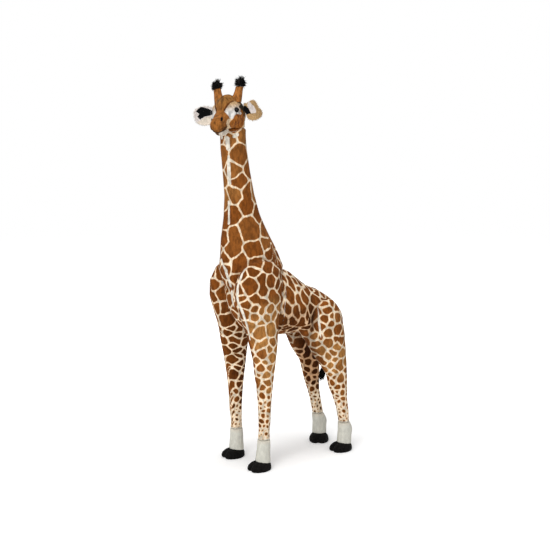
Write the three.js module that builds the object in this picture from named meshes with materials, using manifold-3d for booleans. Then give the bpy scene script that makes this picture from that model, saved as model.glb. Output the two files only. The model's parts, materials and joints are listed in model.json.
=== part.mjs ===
// A standing plush giraffe: stuffed fur pieces sewn over a steel frame, with a head that turns on a disc joint,
// ears that flap at their sewn bases and a stuffed tail that swings and lifts.
// Millimetres. +Z is up, the giraffe faces -Y and its left side is +X.
// The origin is on the floor, below the middle of the whole toy.
import * as THREE from "three";
import { mergeVertices } from "three/addons/utils/BufferGeometryUtils.js";
import Module from "manifold-3d";

const wasm = await Module();
wasm.setup();

// Clearances
const seamGap = 0.35; // between two stuffed pieces along their seam
const fitGap = 0.4; // between the frame's pieces, and round them in the stuffing
const swivelGap = 1.2; // between the neck's top and the head that turns on it
const overrun = 4; // how far a cutting shape runs past what it cuts

// Heights of the body
const bellyHeight = 455;
const bodyDepth = 261;
const bodyHalfWidth = 95;
const shoulderRise = 290; // front legs' domed tops above the belly
const hipRise = 125; // hind legs' domed tops above the belly

// Legs, with fore-aft places measured at the socks
const frontLegY = -172;
const rearLegY = 178;
const frontFootX = 87;
const rearFootX = 73;
const shoulderX = 77;
const hipX = 75;
const shoulderHalfDepth = 95;
const shoulderHalfWidth = 45;
const hipHalfDepth = 63;
const hipHalfWidth = 46;
const ankleRadius = 18;
const rearLeftStep = 18; // how far each hind foot stands behind its hip's place
const rearRightStep = 12;
const frontRightBend = 13; // how far each right knee stands in front of a straight leg
const rearRightBend = 10;
const chestReach = 84; // chest in front of the front legs
const rumpReach = 28; // rump behind the hind legs

// Socks and hooves
const sockTop = 106;
const sockTopRadius = 22.5;
const sockBottomRadius = 27;
const sockFoot = 14; // how deep the sock's end sits inside the hoof's height
const fetlockSwell = 6; // how far a hind sock swells behind
const hoofHeight = 31;
const hoofHalfWidth = 37;
const hoofHalfLength = 45;
const toeReach = 15; // hoof's middle in front of the sock's middle
const rearRightToeIn = THREE.MathUtils.degToRad(50);
const cleftDepth = 13;
const cleftHalfAngle = 0.2; // radians

// Neck
const neckBaseRise = 190; // neck's hidden foot above the belly
const neckLength = 545;
const neckFootBehind = 22; // neck's foot behind the front legs
const neckLean = 84;
const neckBaseHalfDepth = 122;
const neckBaseHalfWidth = 84;
const neckTopRadius = 41;
const maneHalfWidth = 8;
const maneHeight = 8;

// Head, measured from the middle of the neck's flat top
const headYaw = THREE.MathUtils.degToRad(33); // as posed: turned to the giraffe's left
const headRoll = THREE.MathUtils.degToRad(6.5); // left side a little higher
const headLength = 188;
const headBack = 48; // skull behind the neck's axis
const headHalfWidth = 52;
const headHalfHeight = 56;
const muzzleRise = 11; // muzzle's middle above the neck's top
const crownRise = 50; // skull's middle above the neck's top
const muzzleSeam = 84; // skull to muzzle seam in front of the neck's axis
const collarHeight = 42; // neck-wide foot of the skull above the neck's top
const chinHalfWidth = 21;
const chinHalfLength = 30;
const chinHalfHeight = 14;
const chinForward = 86;
const chinDrop = 21; // chin's middle below the muzzle's

// Horns
const hornForward = 14;
const hornSpread = 35;
const hornLength = 53;
const hornBaseRadius = 16.5;
const hornTipRadius = 12;
const hornSplay = THREE.MathUtils.degToRad(9);
const hornTilt = THREE.MathUtils.degToRad(19); // backwards
const tuftHalfWidth = 17;
const tuftHeight = 30;

// Ears
const earLength = 79;
const earHalfWidth = 33;
const earThickness = 8;
const earCup = 17; // depth of the ear's bowl
const earForward = 4; // ear's root in front of the neck's axis
const earRise = 62; // ear's root above the neck's top
const earSweep = THREE.MathUtils.degToRad(18);
const earDroop = THREE.MathUtils.degToRad(20);
const earFlap = THREE.MathUtils.degToRad(20); // how far an ear swings either way
const liningThickness = 2;

// Face
const eyeRadius = 8.5;
const eyeForward = 50;
const eyeAngle = THREE.MathUtils.degToRad(13); // above the skull's widest line
const eyeStemRadius = 2.5;
const eyeStemLength = 17;
const eyeWasherRadius = 7;
const eyeWasherThickness = 2;
const nostrilHalfLength = 5;
const nostrilHalfWidth = 3;
const nostrilSetback = 26; // nostril behind the nose's tip
const nostrilAngle = THREE.MathUtils.degToRad(42);

// Tail
const tailRise = 50; // tail's root above the belly
const tailRootRadius = 9;
const tailRootDepth = 30; // root's foot in front of the rump's end
const tailBallRadius = 8;
const tailCordRadius = 6.5;
const tailCordLength = 229;
const tailTuftLength = 76;
const tailTuftRadius = 11.5;
const tailLean = THREE.MathUtils.degToRad(19.5); // towards the giraffe's right

// Frame
const rodRadius = 4;
const barWidth = 24;
const barThickness = 6;
const barEndMargin = 16;
const spineSize = 16;
const frameRise = 62; // crossbars above the belly
const rodStickOut = 13; // rod's threaded end above its crossbar
const nutHalfAcross = 7;
const nutHeight = 6;
const soleBoardThickness = 4;
const soleBoardRadius = 24;
const soleSkin = 3; // hoof's fabric below its board
const rodTopClearance = 32; // neck rod's end below the neck's top

// Head's disc joint
const discRadius = 27;
const discThickness = 3;
const stemRadius = 5;
const stemLength = 20;
const lockWasherRadius = 10;
const lockWasherThickness = 2.5;

// The whole toy's middle from the middle of its stance
const middleX = 0;
const middleY = -64;

// Faceting
const torsoSides = 24;
const neckSides = 24;
const legSides = 16;
const headSides = 20;
const smallSides = 12;
const rodSides = 8;

// Colours
const furBrown = new THREE.MeshStandardMaterial({ color: 0x9a5a26, roughness: 0.95, metalness: 0 });
const faceBrown = new THREE.MeshStandardMaterial({ color: 0xb0702e, roughness: 0.95, metalness: 0 });
const cream = new THREE.MeshStandardMaterial({ color: 0xe6dfcd, roughness: 0.95, metalness: 0 });
const black = new THREE.MeshStandardMaterial({ color: 0x0c0b0c, roughness: 0.9, metalness: 0 });
const eyeBlack = new THREE.MeshStandardMaterial({ color: 0x080606, roughness: 0.08, metalness: 0 });
const plastic = new THREE.MeshStandardMaterial({ color: 0xd8d8d4, roughness: 0.5, metalness: 0 });
const steel = new THREE.MeshStandardMaterial({ color: 0x8f9296, roughness: 0.4, metalness: 1 });
const board = new THREE.MeshStandardMaterial({ color: 0xb08a5a, roughness: 0.8, metalness: 0 });

const xAxis = new THREE.Vector3(1, 0, 0);
const yAxis = new THREE.Vector3(0, 1, 0);
const zAxis = new THREE.Vector3(0, 0, 1);
const point = (x, y, z) => new THREE.Vector3(x, y, z);

// A closed tube of rings. A tip is a point that closes an end, and without one the end is flat.
function skinOver(rings, startTip, endTip) {
  const sides = rings[0].length;
  const last = (rings.length - 1) * sides;
  const middleOf = (ring) => ring.reduce((sum, p) => sum.add(p), point(0, 0, 0)).divideScalar(sides);
  const points = [...rings.flat(), startTip ?? middleOf(rings[0]), endTip ?? middleOf(rings.at(-1))];
  const faces = tubeFaces(rings.length, sides);
  for (let side = 0; side < sides; side++) {
    const next = (side + 1) % sides;
    faces.push(points.length - 2, next, side, points.length - 1, last + side, last + next);
  }
  return outwards(points, faces);
}

// A thin shell of rings that run along one face and back along the other, with strips across its ends.
function bladeOver(rings) {
  const sides = rings[0].length;
  const last = (rings.length - 1) * sides;
  const faces = tubeFaces(rings.length, sides);
  for (let side = 0; side + 1 < sides / 2; side++) {
    const far = sides - 1 - side;
    faces.push(side, far, side + 1, side + 1, far, far - 1);
    faces.push(last + side, last + side + 1, last + far, last + side + 1, last + far - 1, last + far);
  }
  return outwards(rings.flat(), faces);
}

function tubeFaces(rows, sides) {
  const faces = [];
  for (let side = 0; side < sides; side++) {
    const next = (side + 1) % sides;
    for (let row = 0; row + 1 < rows; row++) {
      const low = row * sides;
      const high = low + sides;
      faces.push(low + side, low + next, high + next, low + side, high + next, high + side);
    }
  }
  return faces;
}

function outwards(points, faces) {
  const geometry = new THREE.BufferGeometry().setFromPoints(points).setIndex(faces);
  if (signedVolume(geometry) < 0) geometry.setIndex(faces.reverse());
  return geometry;
}

function signedVolume(geometry) {
  const place = geometry.getAttribute("position");
  const corner = (n) => new THREE.Vector3().fromBufferAttribute(place, geometry.index.getX(n));
  let sum = 0;
  for (let n = 0; n < geometry.index.count; n += 3) sum += corner(n).dot(corner(n + 1).cross(corner(n + 2)));
  return sum;
}

function ellipseRing(middle, side, up, halfSide, halfUp, sides) {
  return Array.from({ length: sides }, (_, n) => {
    const angle = (2 * Math.PI * (n + 0.5)) / sides;
    return middle
      .clone()
      .addScaledVector(side, halfSide * Math.cos(angle))
      .addScaledVector(up, halfUp * Math.sin(angle));
  });
}

// Rows of shares joined smoothly: the row at a place counted in rows.
function rowAt(table, place) {
  const n = Math.min(Math.max(Math.floor(place), 0), table.length - 2);
  const t = place - n;
  const [a, b, c, d] = [n - 1, n, n + 1, n + 2].map((k) => table[Math.min(Math.max(k, 0), table.length - 1)]);
  return b.map((_, k) => {
    const slopeIn = (c[k] - a[k]) / 2;
    const slopeOut = (d[k] - b[k]) / 2;
    return (
      (2 * t ** 3 - 3 * t ** 2 + 1) * b[k] +
      (t ** 3 - 2 * t ** 2 + t) * slopeIn +
      (3 * t ** 2 - 2 * t ** 3) * c[k] +
      (t ** 3 - t ** 2) * slopeOut
    );
  });
}

// The row whose first number is the one asked for.
function rowWhere(table, wanted) {
  let [low, high] = [0, table.length - 1];
  for (let step = 0; step < 40; step++) {
    const middle = (low + high) / 2;
    if (rowAt(table, middle)[0] < wanted) low = middle;
    else high = middle;
  }
  return rowAt(table, (low + high) / 2);
}

// Rings through a table, with steps between neighbouring rows.
function ringsThrough(table, ringOf, steps) {
  const count = (table.length - 1) * steps;
  return Array.from({ length: count + 1 }, (_, n) => ringOf(rowAt(table, n / steps)));
}

// Joining and cutting
function solidOf(geometry) {
  const bare = new THREE.BufferGeometry().setAttribute("position", geometry.getAttribute("position"));
  bare.setIndex(geometry.index);
  const merged = mergeVertices(bare);
  return new wasm.Manifold(
    new wasm.Mesh({
      numProp: 3,
      vertProperties: new Float32Array(merged.getAttribute("position").array),
      triVerts: new Uint32Array(merged.index.array),
    }),
  );
}

function geometryOf(solid) {
  const mesh = solid.getMesh();
  return new THREE.BufferGeometry()
    .setAttribute("position", new THREE.BufferAttribute(new Float32Array(mesh.vertProperties), 3))
    .setIndex(new THREE.BufferAttribute(new Uint32Array(mesh.triVerts), 1));
}

const largestOf = (solid) => solid.decompose().reduce((a, b) => (a.volume() > b.volume() ? a : b));
const cut = (geometry, ...tools) =>
  geometryOf(largestOf(tools.reduce((left, tool) => left.subtract(solidOf(tool)), solidOf(geometry))));
const join = (...geometries) => geometryOf(geometries.map(solidOf).reduce((a, b) => a.add(b)));

// A cylinder from one point to another.
function cylinderBetween(start, end, radius, sides = smallSides) {
  const along = end.clone().sub(start);
  const turn = new THREE.Quaternion().setFromUnitVectors(yAxis, along.clone().normalize());
  return new THREE.CylinderGeometry(radius, radius, along.length(), sides)
    .applyQuaternion(turn)
    .translate(...start.clone().lerp(end, 0.5).toArray());
}

// A round tube through points that lie one above another.
function tubeThrough(path, radius, sides = rodSides) {
  const rings = path.map((here, n) => {
    const before = path[Math.max(n - 1, 0)];
    const after = path[Math.min(n + 1, path.length - 1)];
    const along = after.clone().sub(before).normalize();
    const up = along.clone().cross(xAxis).normalize();
    return ellipseRing(here, up.clone().cross(along), up, radius, radius, sides);
  });
  return skinOver(rings);
}

function ball(middle, halfX, halfY, halfZ, sides = smallSides) {
  return new THREE.SphereGeometry(1, sides, Math.round((sides * 2) / 3))
    .scale(halfX, halfY, halfZ)
    .translate(...middle.toArray());
}

// Torso, a loft from chest to rump: share of length, top, bottom, half width
const torsoShares = [
  [0.012, 0.86, 0.55, 0.36],
  [0.045, 0.95, 0.36, 0.63],
  [0.12, 0.995, 0.17, 0.85],
  [0.22, 1, 0.065, 0.95],
  [0.33, 0.985, 0.02, 1],
  [0.44, 0.94, -0.005, 1],
  [0.53, 0.86, -0.012, 0.975],
  [0.61, 0.745, -0.015, 0.955],
  [0.69, 0.645, -0.03, 0.95],
  [0.78, 0.583, -0.06, 0.965],
  [0.88, 0.475, -0.1, 0.95],
  [0.95, 0.36, -0.1, 0.82],
  [0.985, 0.25, -0.04, 0.57],
];
const chestTipShare = 0.71;
const rumpTipShare = 0.12;
const chestY = frontLegY - chestReach;
const bodyLength = rearLegY + rumpReach - chestY;

function torsoForm(grow = 0) {
  const rings = ringsThrough(
    torsoShares,
    ([along, top, bottom, width]) => {
      const middle = point(0, chestY + along * bodyLength, bellyHeight + ((top + bottom) / 2) * bodyDepth);
      const halfHeight = ((top - bottom) / 2) * bodyDepth;
      return ellipseRing(middle, xAxis, zAxis, width * bodyHalfWidth + grow, halfHeight + grow, torsoSides);
    },
    1,
  );
  const chestTip = point(0, chestY - grow, bellyHeight + chestTipShare * bodyDepth);
  const rumpTip = point(0, chestY + bodyLength + grow, bellyHeight + rumpTipShare * bodyDepth);
  return skinOver(rings, chestTip, rumpTip);
}

// Neck, a loft upwards: share of height, lean, half depth, half width
const neckShares = [
  [0, 0, 0.87, 0.98],
  [0.113, 0.148, 1, 1],
  [0.198, 0.235, 0.84, 0.82],
  [0.303, 0.42, 0.62, 0.57],
  [0.446, 0.593, 0.3, 0.3],
  [0.583, 0.725, 0.12, 0.13],
  [0.738, 0.864, 0.045, 0.06],
  [0.874, 0.975, 0.01, 0.015],
  [0.947, 1, 0, 0],
  [1, 1, 0, 0],
];
const neckFootY = frontLegY + neckFootBehind;
const neckFootHeight = bellyHeight + neckBaseRise;
const neckTopHeight = neckFootHeight + neckLength;
const pivot = point(0, neckFootY - neckLean, neckTopHeight);

function neckSection([height, lean, depth, width], grow = 0) {
  return {
    middle: point(0, neckFootY - lean * neckLean, neckFootHeight + height * neckLength),
    halfWidth: neckTopRadius + width * (neckBaseHalfWidth - neckTopRadius) + grow,
    halfDepth: neckTopRadius + depth * (neckBaseHalfDepth - neckTopRadius) + grow,
  };
}

function neckForm(grow = 0) {
  const rings = ringsThrough(
    neckShares,
    (row) => {
      const { middle, halfWidth, halfDepth } = neckSection(row, grow);
      return ellipseRing(middle, xAxis, yAxis, halfWidth, halfDepth, neckSides);
    },
    1,
  );
  return skinOver(rings);
}

// Mane, a low strip of pile up the back of the neck
const maneFootShare = 0.165;
const maneTopShare = 0.955;
const maneSteps = 12;

function maneForm() {
  const rings = Array.from({ length: maneSteps + 1 }, (_, n) => {
    const share = maneFootShare + ((maneTopShare - maneFootShare) * n) / maneSteps;
    const { middle, halfDepth } = neckSection(rowWhere(neckShares, share));
    const end = Math.min(n, maneSteps - n) === 0 ? 0.5 : 1;
    middle.y += halfDepth;
    return ellipseRing(middle, xAxis, yAxis, maneHalfWidth * end, maneHeight * end, smallSides);
  });
  return cut(skinOver(rings), neckForm(seamGap));
}

// Legs, lofts upwards: share of height, fore-aft shift, half depth, half width
const frontLegShares = [
  [0.142, 0.054, 0.047, 0.1],
  [0.195, 0.07, 0.01, 0.02],
  [0.254, 0.075, 0, 0],
  [0.333, 0.09, 0.045, 0.07],
  [0.41, 0.1, 0.12, 0.22],
  [0.517, 0.085, 0.28, 0.55],
  [0.587, 0.06, 0.41, 0.74],
  [0.648, 0.02, 0.53, 0.88],
  [0.725, -0.04, 0.745, 0.96],
  [0.812, -0.1, 0.97, 1],
  [0.885, -0.09, 1, 0.95],
  [0.945, -0.03, 0.8, 0.66],
  [0.983, 0.03, 0.42, 0.15],
];
const rearLegShares = [
  [0.183, -0.016, 0.055, 0.06],
  [0.276, -0.127, 0, 0],
  [0.345, -0.27, 0.06, 0.04],
  [0.431, -0.413, 0.23, 0.23],
  [0.517, -0.508, 0.385, 0.4],
  [0.588, -0.603, 0.54, 0.55],
  [0.672, -0.762, 0.76, 0.72],
  [0.774, -0.952, 0.94, 0.93],
  [0.871, -1.14, 1, 1],
  [0.948, -1.2, 0.72, 0.6],
  [0.986, -1.2, 0.3, 0.05],
];

const frontLeg = {
  shares: frontLegShares,
  height: bellyHeight + shoulderRise,
  y: frontLegY,
  step: 0,
  bend: 0,
  toeIn: 0,
  fetlock: 0,
  footX: frontFootX,
  topX: shoulderX,
  halfDepth: shoulderHalfDepth,
  halfWidth: shoulderHalfWidth,
};
const rearLeg = {
  shares: rearLegShares,
  height: bellyHeight + hipRise,
  y: rearLegY,
  step: 0,
  bend: 0,
  toeIn: 0,
  fetlock: fetlockSwell,
  footX: rearFootX,
  topX: hipX,
  halfDepth: hipHalfDepth,
  halfWidth: hipHalfWidth,
};
const legs = [
  { ...frontLeg, name: "front_left", side: 1 },
  { ...frontLeg, name: "front_right", side: -1, bend: frontRightBend },
  { ...rearLeg, name: "rear_left", side: 1, step: rearLeftStep },
  { ...rearLeg, name: "rear_right", side: -1, step: rearRightStep, bend: rearRightBend, toeIn: rearRightToeIn },
];

function legSection(leg, [height, shift, depth, width], grow = 0) {
  const stance = leg.step * (1 - height ** 2) - leg.bend * Math.sin(Math.PI * height);
  return {
    middle: point(
      leg.side * THREE.MathUtils.lerp(leg.footX, leg.topX, height),
      leg.y + shift * leg.halfDepth + stance,
      height * leg.height,
    ),
    halfWidth: ankleRadius + width * (leg.halfWidth - ankleRadius) + grow,
    halfDepth: ankleRadius + depth * (leg.halfDepth - ankleRadius) + grow,
  };
}

const footOf = (leg, height = 0) => point(leg.side * leg.footX, leg.y + leg.step, height);

// A place in a hoof, measured from the middle of its sock
function inHoof(leg, across, back, height) {
  return point(across, back, 0).applyAxisAngle(zAxis, -leg.side * leg.toeIn).add(footOf(leg, height));
}

// The leg's first row is its seam with the sock, at the sock's top.
function legTable(leg) {
  const [, ...rows] = leg.shares;
  const seam = [(sockTop + seamGap) / leg.height, ...leg.shares[0].slice(1)];
  return [seam, ...rows];
}

function legForm(leg, grow = 0) {
  const rings = ringsThrough(
    legTable(leg),
    (row) => {
      const { middle, halfWidth, halfDepth } = legSection(leg, row, grow);
      return ellipseRing(middle, xAxis, yAxis, halfWidth, halfDepth, legSides);
    },
    1,
  );
  const { middle } = legSection(leg, leg.shares.at(-1));
  middle.z = leg.height + grow;
  return skinOver(rings, undefined, middle);
}

// Hoof, a cloven loaf whose upper rings lie back towards the ankle: height, size, setback
const hoofShares = [
  [0, 0.93, 0],
  [0.1, 0.99, 0],
  [0.32, 1, 0.02],
  [0.58, 0.95, 0.1],
  [0.82, 0.8, 0.28],
  [0.96, 0.58, 0.5],
];
const hoofSides = 20;

function hoofForm(leg, grow = 0) {
  const rings = hoofShares.map(([height, size, setback]) =>
    Array.from({ length: hoofSides }, (_, n) => {
      const angle = (2 * Math.PI * n) / hoofSides;
      const fromToe = Math.atan2(Math.sin(angle + Math.PI / 2), Math.cos(angle + Math.PI / 2));
      const cleft = (cleftDepth / hoofHalfLength) * Math.exp(-((fromToe / cleftHalfAngle) ** 2) / 2);
      const reach = size * (1 - cleft);
      const across = Math.cos(angle) * (hoofHalfWidth * reach + grow);
      const back = (setback - 1) * toeReach + Math.sin(angle) * (hoofHalfLength * reach + grow);
      return inHoof(leg, across, back, height * hoofHeight + (height ? grow : 0));
    }),
  );
  return skinOver(rings, undefined, inHoof(leg, 0, -toeReach / 2, hoofHeight + grow));
}

// Sock, from inside the hoof's height up to the leg: height, radius, towards the leg, swell behind
const sockShares = [
  [0, 1, 0, 0],
  [0.25, 0.9, 0.1, 0.25],
  [0.45, 0.5, 0.3, 0.7],
  [0.62, 0.2, 0.5, 1],
  [0.85, 0.1, 0.85, 0.75],
  [1, 0, 1, 0],
];

function sockForm(leg) {
  const legFoot = legSection(leg, leg.shares[0]).middle;
  const low = footOf(leg, hoofHeight - sockFoot);
  const high = point(legFoot.x, legFoot.y, sockTop);
  const rings = sockShares.map(([height, size, across, behind]) => {
    const halfSwell = (behind * leg.fetlock) / 2;
    const middle = low.clone().lerp(high, across);
    middle.y += halfSwell;
    middle.z = THREE.MathUtils.lerp(low.z, high.z, height);
    const radius = THREE.MathUtils.lerp(sockTopRadius, sockBottomRadius, size);
    return ellipseRing(middle, xAxis, yAxis, radius, radius + halfSwell, legSides);
  });
  return skinOver(rings);
}

// Frame: a rod down each leg's middle, bolted to a crossbar, with one spine on both crossbars
const crossbarHeight = bellyHeight + frameRise;
const crossbarTop = crossbarHeight + barThickness / 2;
const rodTop = crossbarTop + rodStickOut;
const rodFoot = soleSkin + soleBoardThickness + fitGap;

// A rod's bolted end stands where both legs of its pair would have it, so that the crossbar is square.
function rodPath(leg) {
  const seat = legSection({ ...leg, step: 0, bend: 0 }, rowWhere(leg.shares, crossbarHeight / leg.height)).middle;
  const path = legTable(leg)
    .filter(([height]) => height * leg.height < crossbarHeight - 2 * barThickness)
    .map((row) => legSection(leg, row).middle);
  const below = seat.clone().setZ(crossbarHeight - barThickness);
  return [footOf(leg, rodFoot), ...path, below, seat.clone().setZ(rodTop)];
}

const legRod = (leg, grow = 0) => tubeThrough(rodPath(leg), rodRadius + grow);
const rodSeat = (leg) => rodPath(leg).at(-1);

function crossbarForm(leg, grow = 0) {
  const seat = rodSeat(leg);
  const length = 2 * (Math.abs(seat.x) + barEndMargin + grow);
  return new THREE.BoxGeometry(length, barWidth + 2 * grow, barThickness + 2 * grow).translate(
    0,
    seat.y,
    crossbarHeight,
  );
}

function nutForm(leg, grow = 0) {
  const seat = rodSeat(leg);
  const foot = crossbarTop + fitGap;
  return cylinderBetween(
    seat.clone().setZ(foot - grow),
    seat.clone().setZ(foot + nutHeight + grow),
    nutHalfAcross + grow,
    6,
  );
}

const spineFrontY = rodSeat(legs[0]).y - barWidth / 2;
const spineRearY = rodSeat(legs[2]).y + barWidth / 2;
const spineFoot = crossbarTop + fitGap;

const spineForm = (grow = 0) =>
  new THREE.BoxGeometry(spineSize + 2 * grow, spineRearY - spineFrontY + 2 * grow, spineSize + 2 * grow).translate(
    0,
    (spineFrontY + spineRearY) / 2,
    spineFoot + spineSize / 2,
  );

// The neck rod stands on the spine's front end and follows the neck's middle.
function neckRodPath() {
  const foot = point(0, spineFrontY + barWidth / 2, spineFoot + spineSize + fitGap);
  const path = neckShares
    .map((row) => neckSection(row).middle)
    .filter(({ z }) => z < neckTopHeight - rodTopClearance - 2 * rodRadius);
  const socket = foot.clone().addScaledVector(zAxis, 2 * rodRadius);
  return [foot, socket, ...path, point(0, pivot.y, neckTopHeight - rodTopClearance)];
}

const neckRodForm = (grow = 0) => tubeThrough(neckRodPath(), rodRadius + grow);

function soleBoardForm(leg, grow = 0) {
  const foot = inHoof(leg, 0, -toeReach, soleSkin);
  const top = foot.clone().setZ(soleSkin + soleBoardThickness + grow);
  return cylinderBetween(foot, top, soleBoardRadius + grow, hoofSides);
}

// Head joint: two discs back to back, a stem through both and a lock washer on its end
function discJoint(grow = 0) {
  const seam = neckTopHeight;
  const at = (height) => point(pivot.x, pivot.y, height);
  const sides = 2 * smallSides;
  const upperFoot = seam + swivelGap / 2;
  const upper = cylinderBetween(at(upperFoot - grow), at(upperFoot + discThickness + grow), discRadius + grow, sides);
  const stem = cylinderBetween(at(seam - stemLength - grow), at(upperFoot + fitGap), stemRadius + grow, smallSides);
  const lowerTop = seam - fitGap / 2;
  const lower = cylinderBetween(at(lowerTop - discThickness - grow), at(lowerTop + grow), discRadius + grow, sides);
  const washerTop = lowerTop - discThickness - fitGap;
  const washer = cylinderBetween(
    at(washerTop - lockWasherThickness - grow),
    at(washerTop + grow),
    lockWasherRadius + grow,
    sides,
  );
  const bore = cylinderBetween(at(seam - stemLength - overrun), at(seam + overrun), stemRadius + fitGap, smallSides);
  return { upper, stem, lower, washer, bore };
}

// Skull and muzzle, one loft from back to front cut at a seam: share of length, height, half width, half height
const headShares = [
  [0.025, 0.62, 0.44, 0.52],
  [0.1, 0.75, 0.77, 0.82],
  [0.22, 0.93, 0.94, 0.96],
  [0.36, 1, 1, 1],
  [0.49, 0.92, 0.96, 0.95],
  [0.6, 0.7, 0.8, 0.82],
  [0.69, 0.42, 0.6, 0.64],
  [0.78, 0.18, 0.46, 0.5],
  [0.88, 0.05, 0.45, 0.47],
  [0.95, 0.01, 0.38, 0.4],
  [0.985, 0, 0.23, 0.25],
];
const skullTipShare = 0.58;
const noseTipShare = 0;

// The head is built facing -Y with the neck's axis as z, and rolled about its own fore-aft line.
const rollTurn = new THREE.Matrix4().makeRotationY(-headRoll);
const headHeightAt = (share) => THREE.MathUtils.lerp(muzzleRise, crownRise, share);
const headYAt = (share) => headBack - share * headLength;

function headSection([along, height, width, tall], grow = 0) {
  return {
    middle: point(0, headYAt(along), headHeightAt(height)),
    halfWidth: width * headHalfWidth + grow,
    halfHeight: tall * headHalfHeight + grow,
  };
}

function headForm(grow = 0) {
  const rings = ringsThrough(
    headShares,
    (row) => {
      const { middle, halfWidth, halfHeight } = headSection(row, grow);
      return ellipseRing(middle, xAxis, zAxis, halfWidth, halfHeight, headSides);
    },
    1,
  );
  const skullTip = point(0, headBack + grow, headHeightAt(skullTipShare));
  const noseTip = point(0, headBack - headLength - grow, headHeightAt(noseTipShare));
  return skinOver(rings, skullTip, noseTip).applyMatrix4(rollTurn);
}

// A place on the head's skin, and the way out of it there
function onHead(forward, angle, side) {
  const share = (forward + headBack) / headLength;
  const { middle, halfWidth, halfHeight } = headSection(rowWhere(headShares, share));
  const place = point(
    side * halfWidth * Math.cos(angle),
    middle.y,
    middle.z + halfHeight * Math.sin(angle),
  ).applyMatrix4(rollTurn);
  const taper = headSection(rowWhere(headShares, share + 0.05)).halfWidth - halfWidth;
  const lean = -taper / (0.05 * headLength);
  const out = point(side * Math.cos(angle) * halfHeight, -lean * halfHeight, Math.sin(angle) * halfWidth)
    .normalize()
    .applyMatrix4(rollTurn);
  return { place, out };
}

// A block that holds everything in front of, or behind, the seam between skull and muzzle
function halfSpace(inFront) {
  const size = 3 * headLength;
  const middle = -muzzleSeam + ((inFront ? -1 : 1) * (size - seamGap)) / 2;
  return new THREE.BoxGeometry(size, size, size).translate(0, middle, 0);
}

// The skull's foot is as wide as the neck and stands on the neck's top.
const collar = cylinderBetween(
  point(0, 0, swivelGap / 2),
  point(0, 0, collarHeight),
  neckTopRadius,
  neckSides,
);
const underCollar = cylinderBetween(
  point(0, 0, -headLength),
  point(0, 0, swivelGap / 2),
  headLength,
  neckSides,
);

function chinForm() {
  const middle = point(0, -chinForward, muzzleRise - chinDrop);
  return cut(
    ball(middle, chinHalfWidth, chinHalfLength, chinHalfHeight, headSides).applyMatrix4(rollTurn),
    headForm(seamGap),
  );
}

// Horns and their tufts
function hornAxis(side) {
  const angle = Math.acos(hornSpread / headHalfWidth);
  const { place } = onHead(hornForward, angle, side);
  const up = point(side * Math.sin(hornSplay), Math.sin(hornTilt), Math.cos(hornSplay)).normalize().applyMatrix4(rollTurn);
  return { foot: place.addScaledVector(up, -hornBaseRadius / 2), up };
}

// share of length, of the change from base to tip radius
const hornShares = [
  [0, 0],
  [0.3, 0.35],
  [0.7, 0.9],
  [1, 1],
];

function hornForm(side) {
  const { foot, up } = hornAxis(side);
  const across = up.clone().cross(yAxis).normalize();
  const rings = hornShares.map(([height, narrowing]) => {
    const radius = THREE.MathUtils.lerp(hornBaseRadius, hornTipRadius, narrowing);
    return ellipseRing(foot.clone().addScaledVector(up, height * hornLength), across, yAxis, radius, radius, 14);
  });
  return cut(skinOver(rings), headForm(seamGap));
}

// height, half width
const tuftShares = [
  [0, 0.78],
  [0.2, 0.98],
  [0.5, 1],
  [0.8, 0.72],
];

function hornTuftForm(side) {
  const { foot, up } = hornAxis(side);
  const across = up.clone().cross(yAxis).normalize();
  const base = foot.addScaledVector(up, hornLength + seamGap);
  const at = (height) => base.clone().addScaledVector(up, height * tuftHeight);
  const rings = tuftShares.map(([height, size]) =>
    ellipseRing(at(height), across, yAxis, size * tuftHalfWidth, size * tuftHalfWidth, smallSides),
  );
  return skinOver(rings, undefined, at(1));
}

// Ear: a cupped leaf whose round root lies along its hinge. share of length, half width, thickness, cup
const earShares = [
  [0, 0.34, 0.85, 0.02],
  [0.08, 0.44, 0.95, 0.2],
  [0.19, 0.66, 0.95, 0.6],
  [0.36, 0.93, 0.85, 0.95],
  [0.53, 1, 0.8, 1],
  [0.73, 0.85, 0.75, 0.85],
  [0.88, 0.56, 0.7, 0.5],
  [0.97, 0.27, 0.6, 0.15],
];
const earRootShare = 0.36;
const earColumns = 7;
const liningRows = earShares.slice(2, 6);

function earFrame(side) {
  const skull = headSection(rowWhere(headShares, (earForward + headBack) / headLength));
  const angle = Math.asin((earRise - skull.middle.z) / skull.halfHeight);
  const { place, out } = onHead(earForward, angle, side);
  const root = place.addScaledVector(out, earThickness / 2 + fitGap);
  const level = point(side * Math.cos(earSweep), -Math.sin(earSweep), 0);
  const along = level.clone().multiplyScalar(Math.cos(earDroop)).addScaledVector(zAxis, -Math.sin(earDroop));
  const up = level.clone().multiplyScalar(Math.sin(earDroop)).addScaledVector(zAxis, Math.cos(earDroop));
  along.applyMatrix4(rollTurn);
  up.applyMatrix4(rollTurn);
  const front = along.clone().cross(up).multiplyScalar(side).normalize();
  return { root, along, up, front };
}

// A place in the ear: a column across it, so far in front of its middle surface
function inEar(side, [share, width, thickness, cup], column, frontShare, proud = 0) {
  const { root, along, up, front } = earFrame(side);
  const across = -1 + (2 * column) / earColumns;
  const bow = -earCup * cup * (1 - across ** 2);
  const edge = 0.35 + 0.65 * Math.sqrt(Math.max(0, 1 - across ** 2));
  const depth = (frontShare * edge * thickness * earThickness) / 2;
  return root
    .clone()
    .addScaledVector(along, share * earLength)
    .addScaledVector(up, across * width * earHalfWidth)
    .addScaledVector(front, bow + depth + proud);
}

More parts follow.
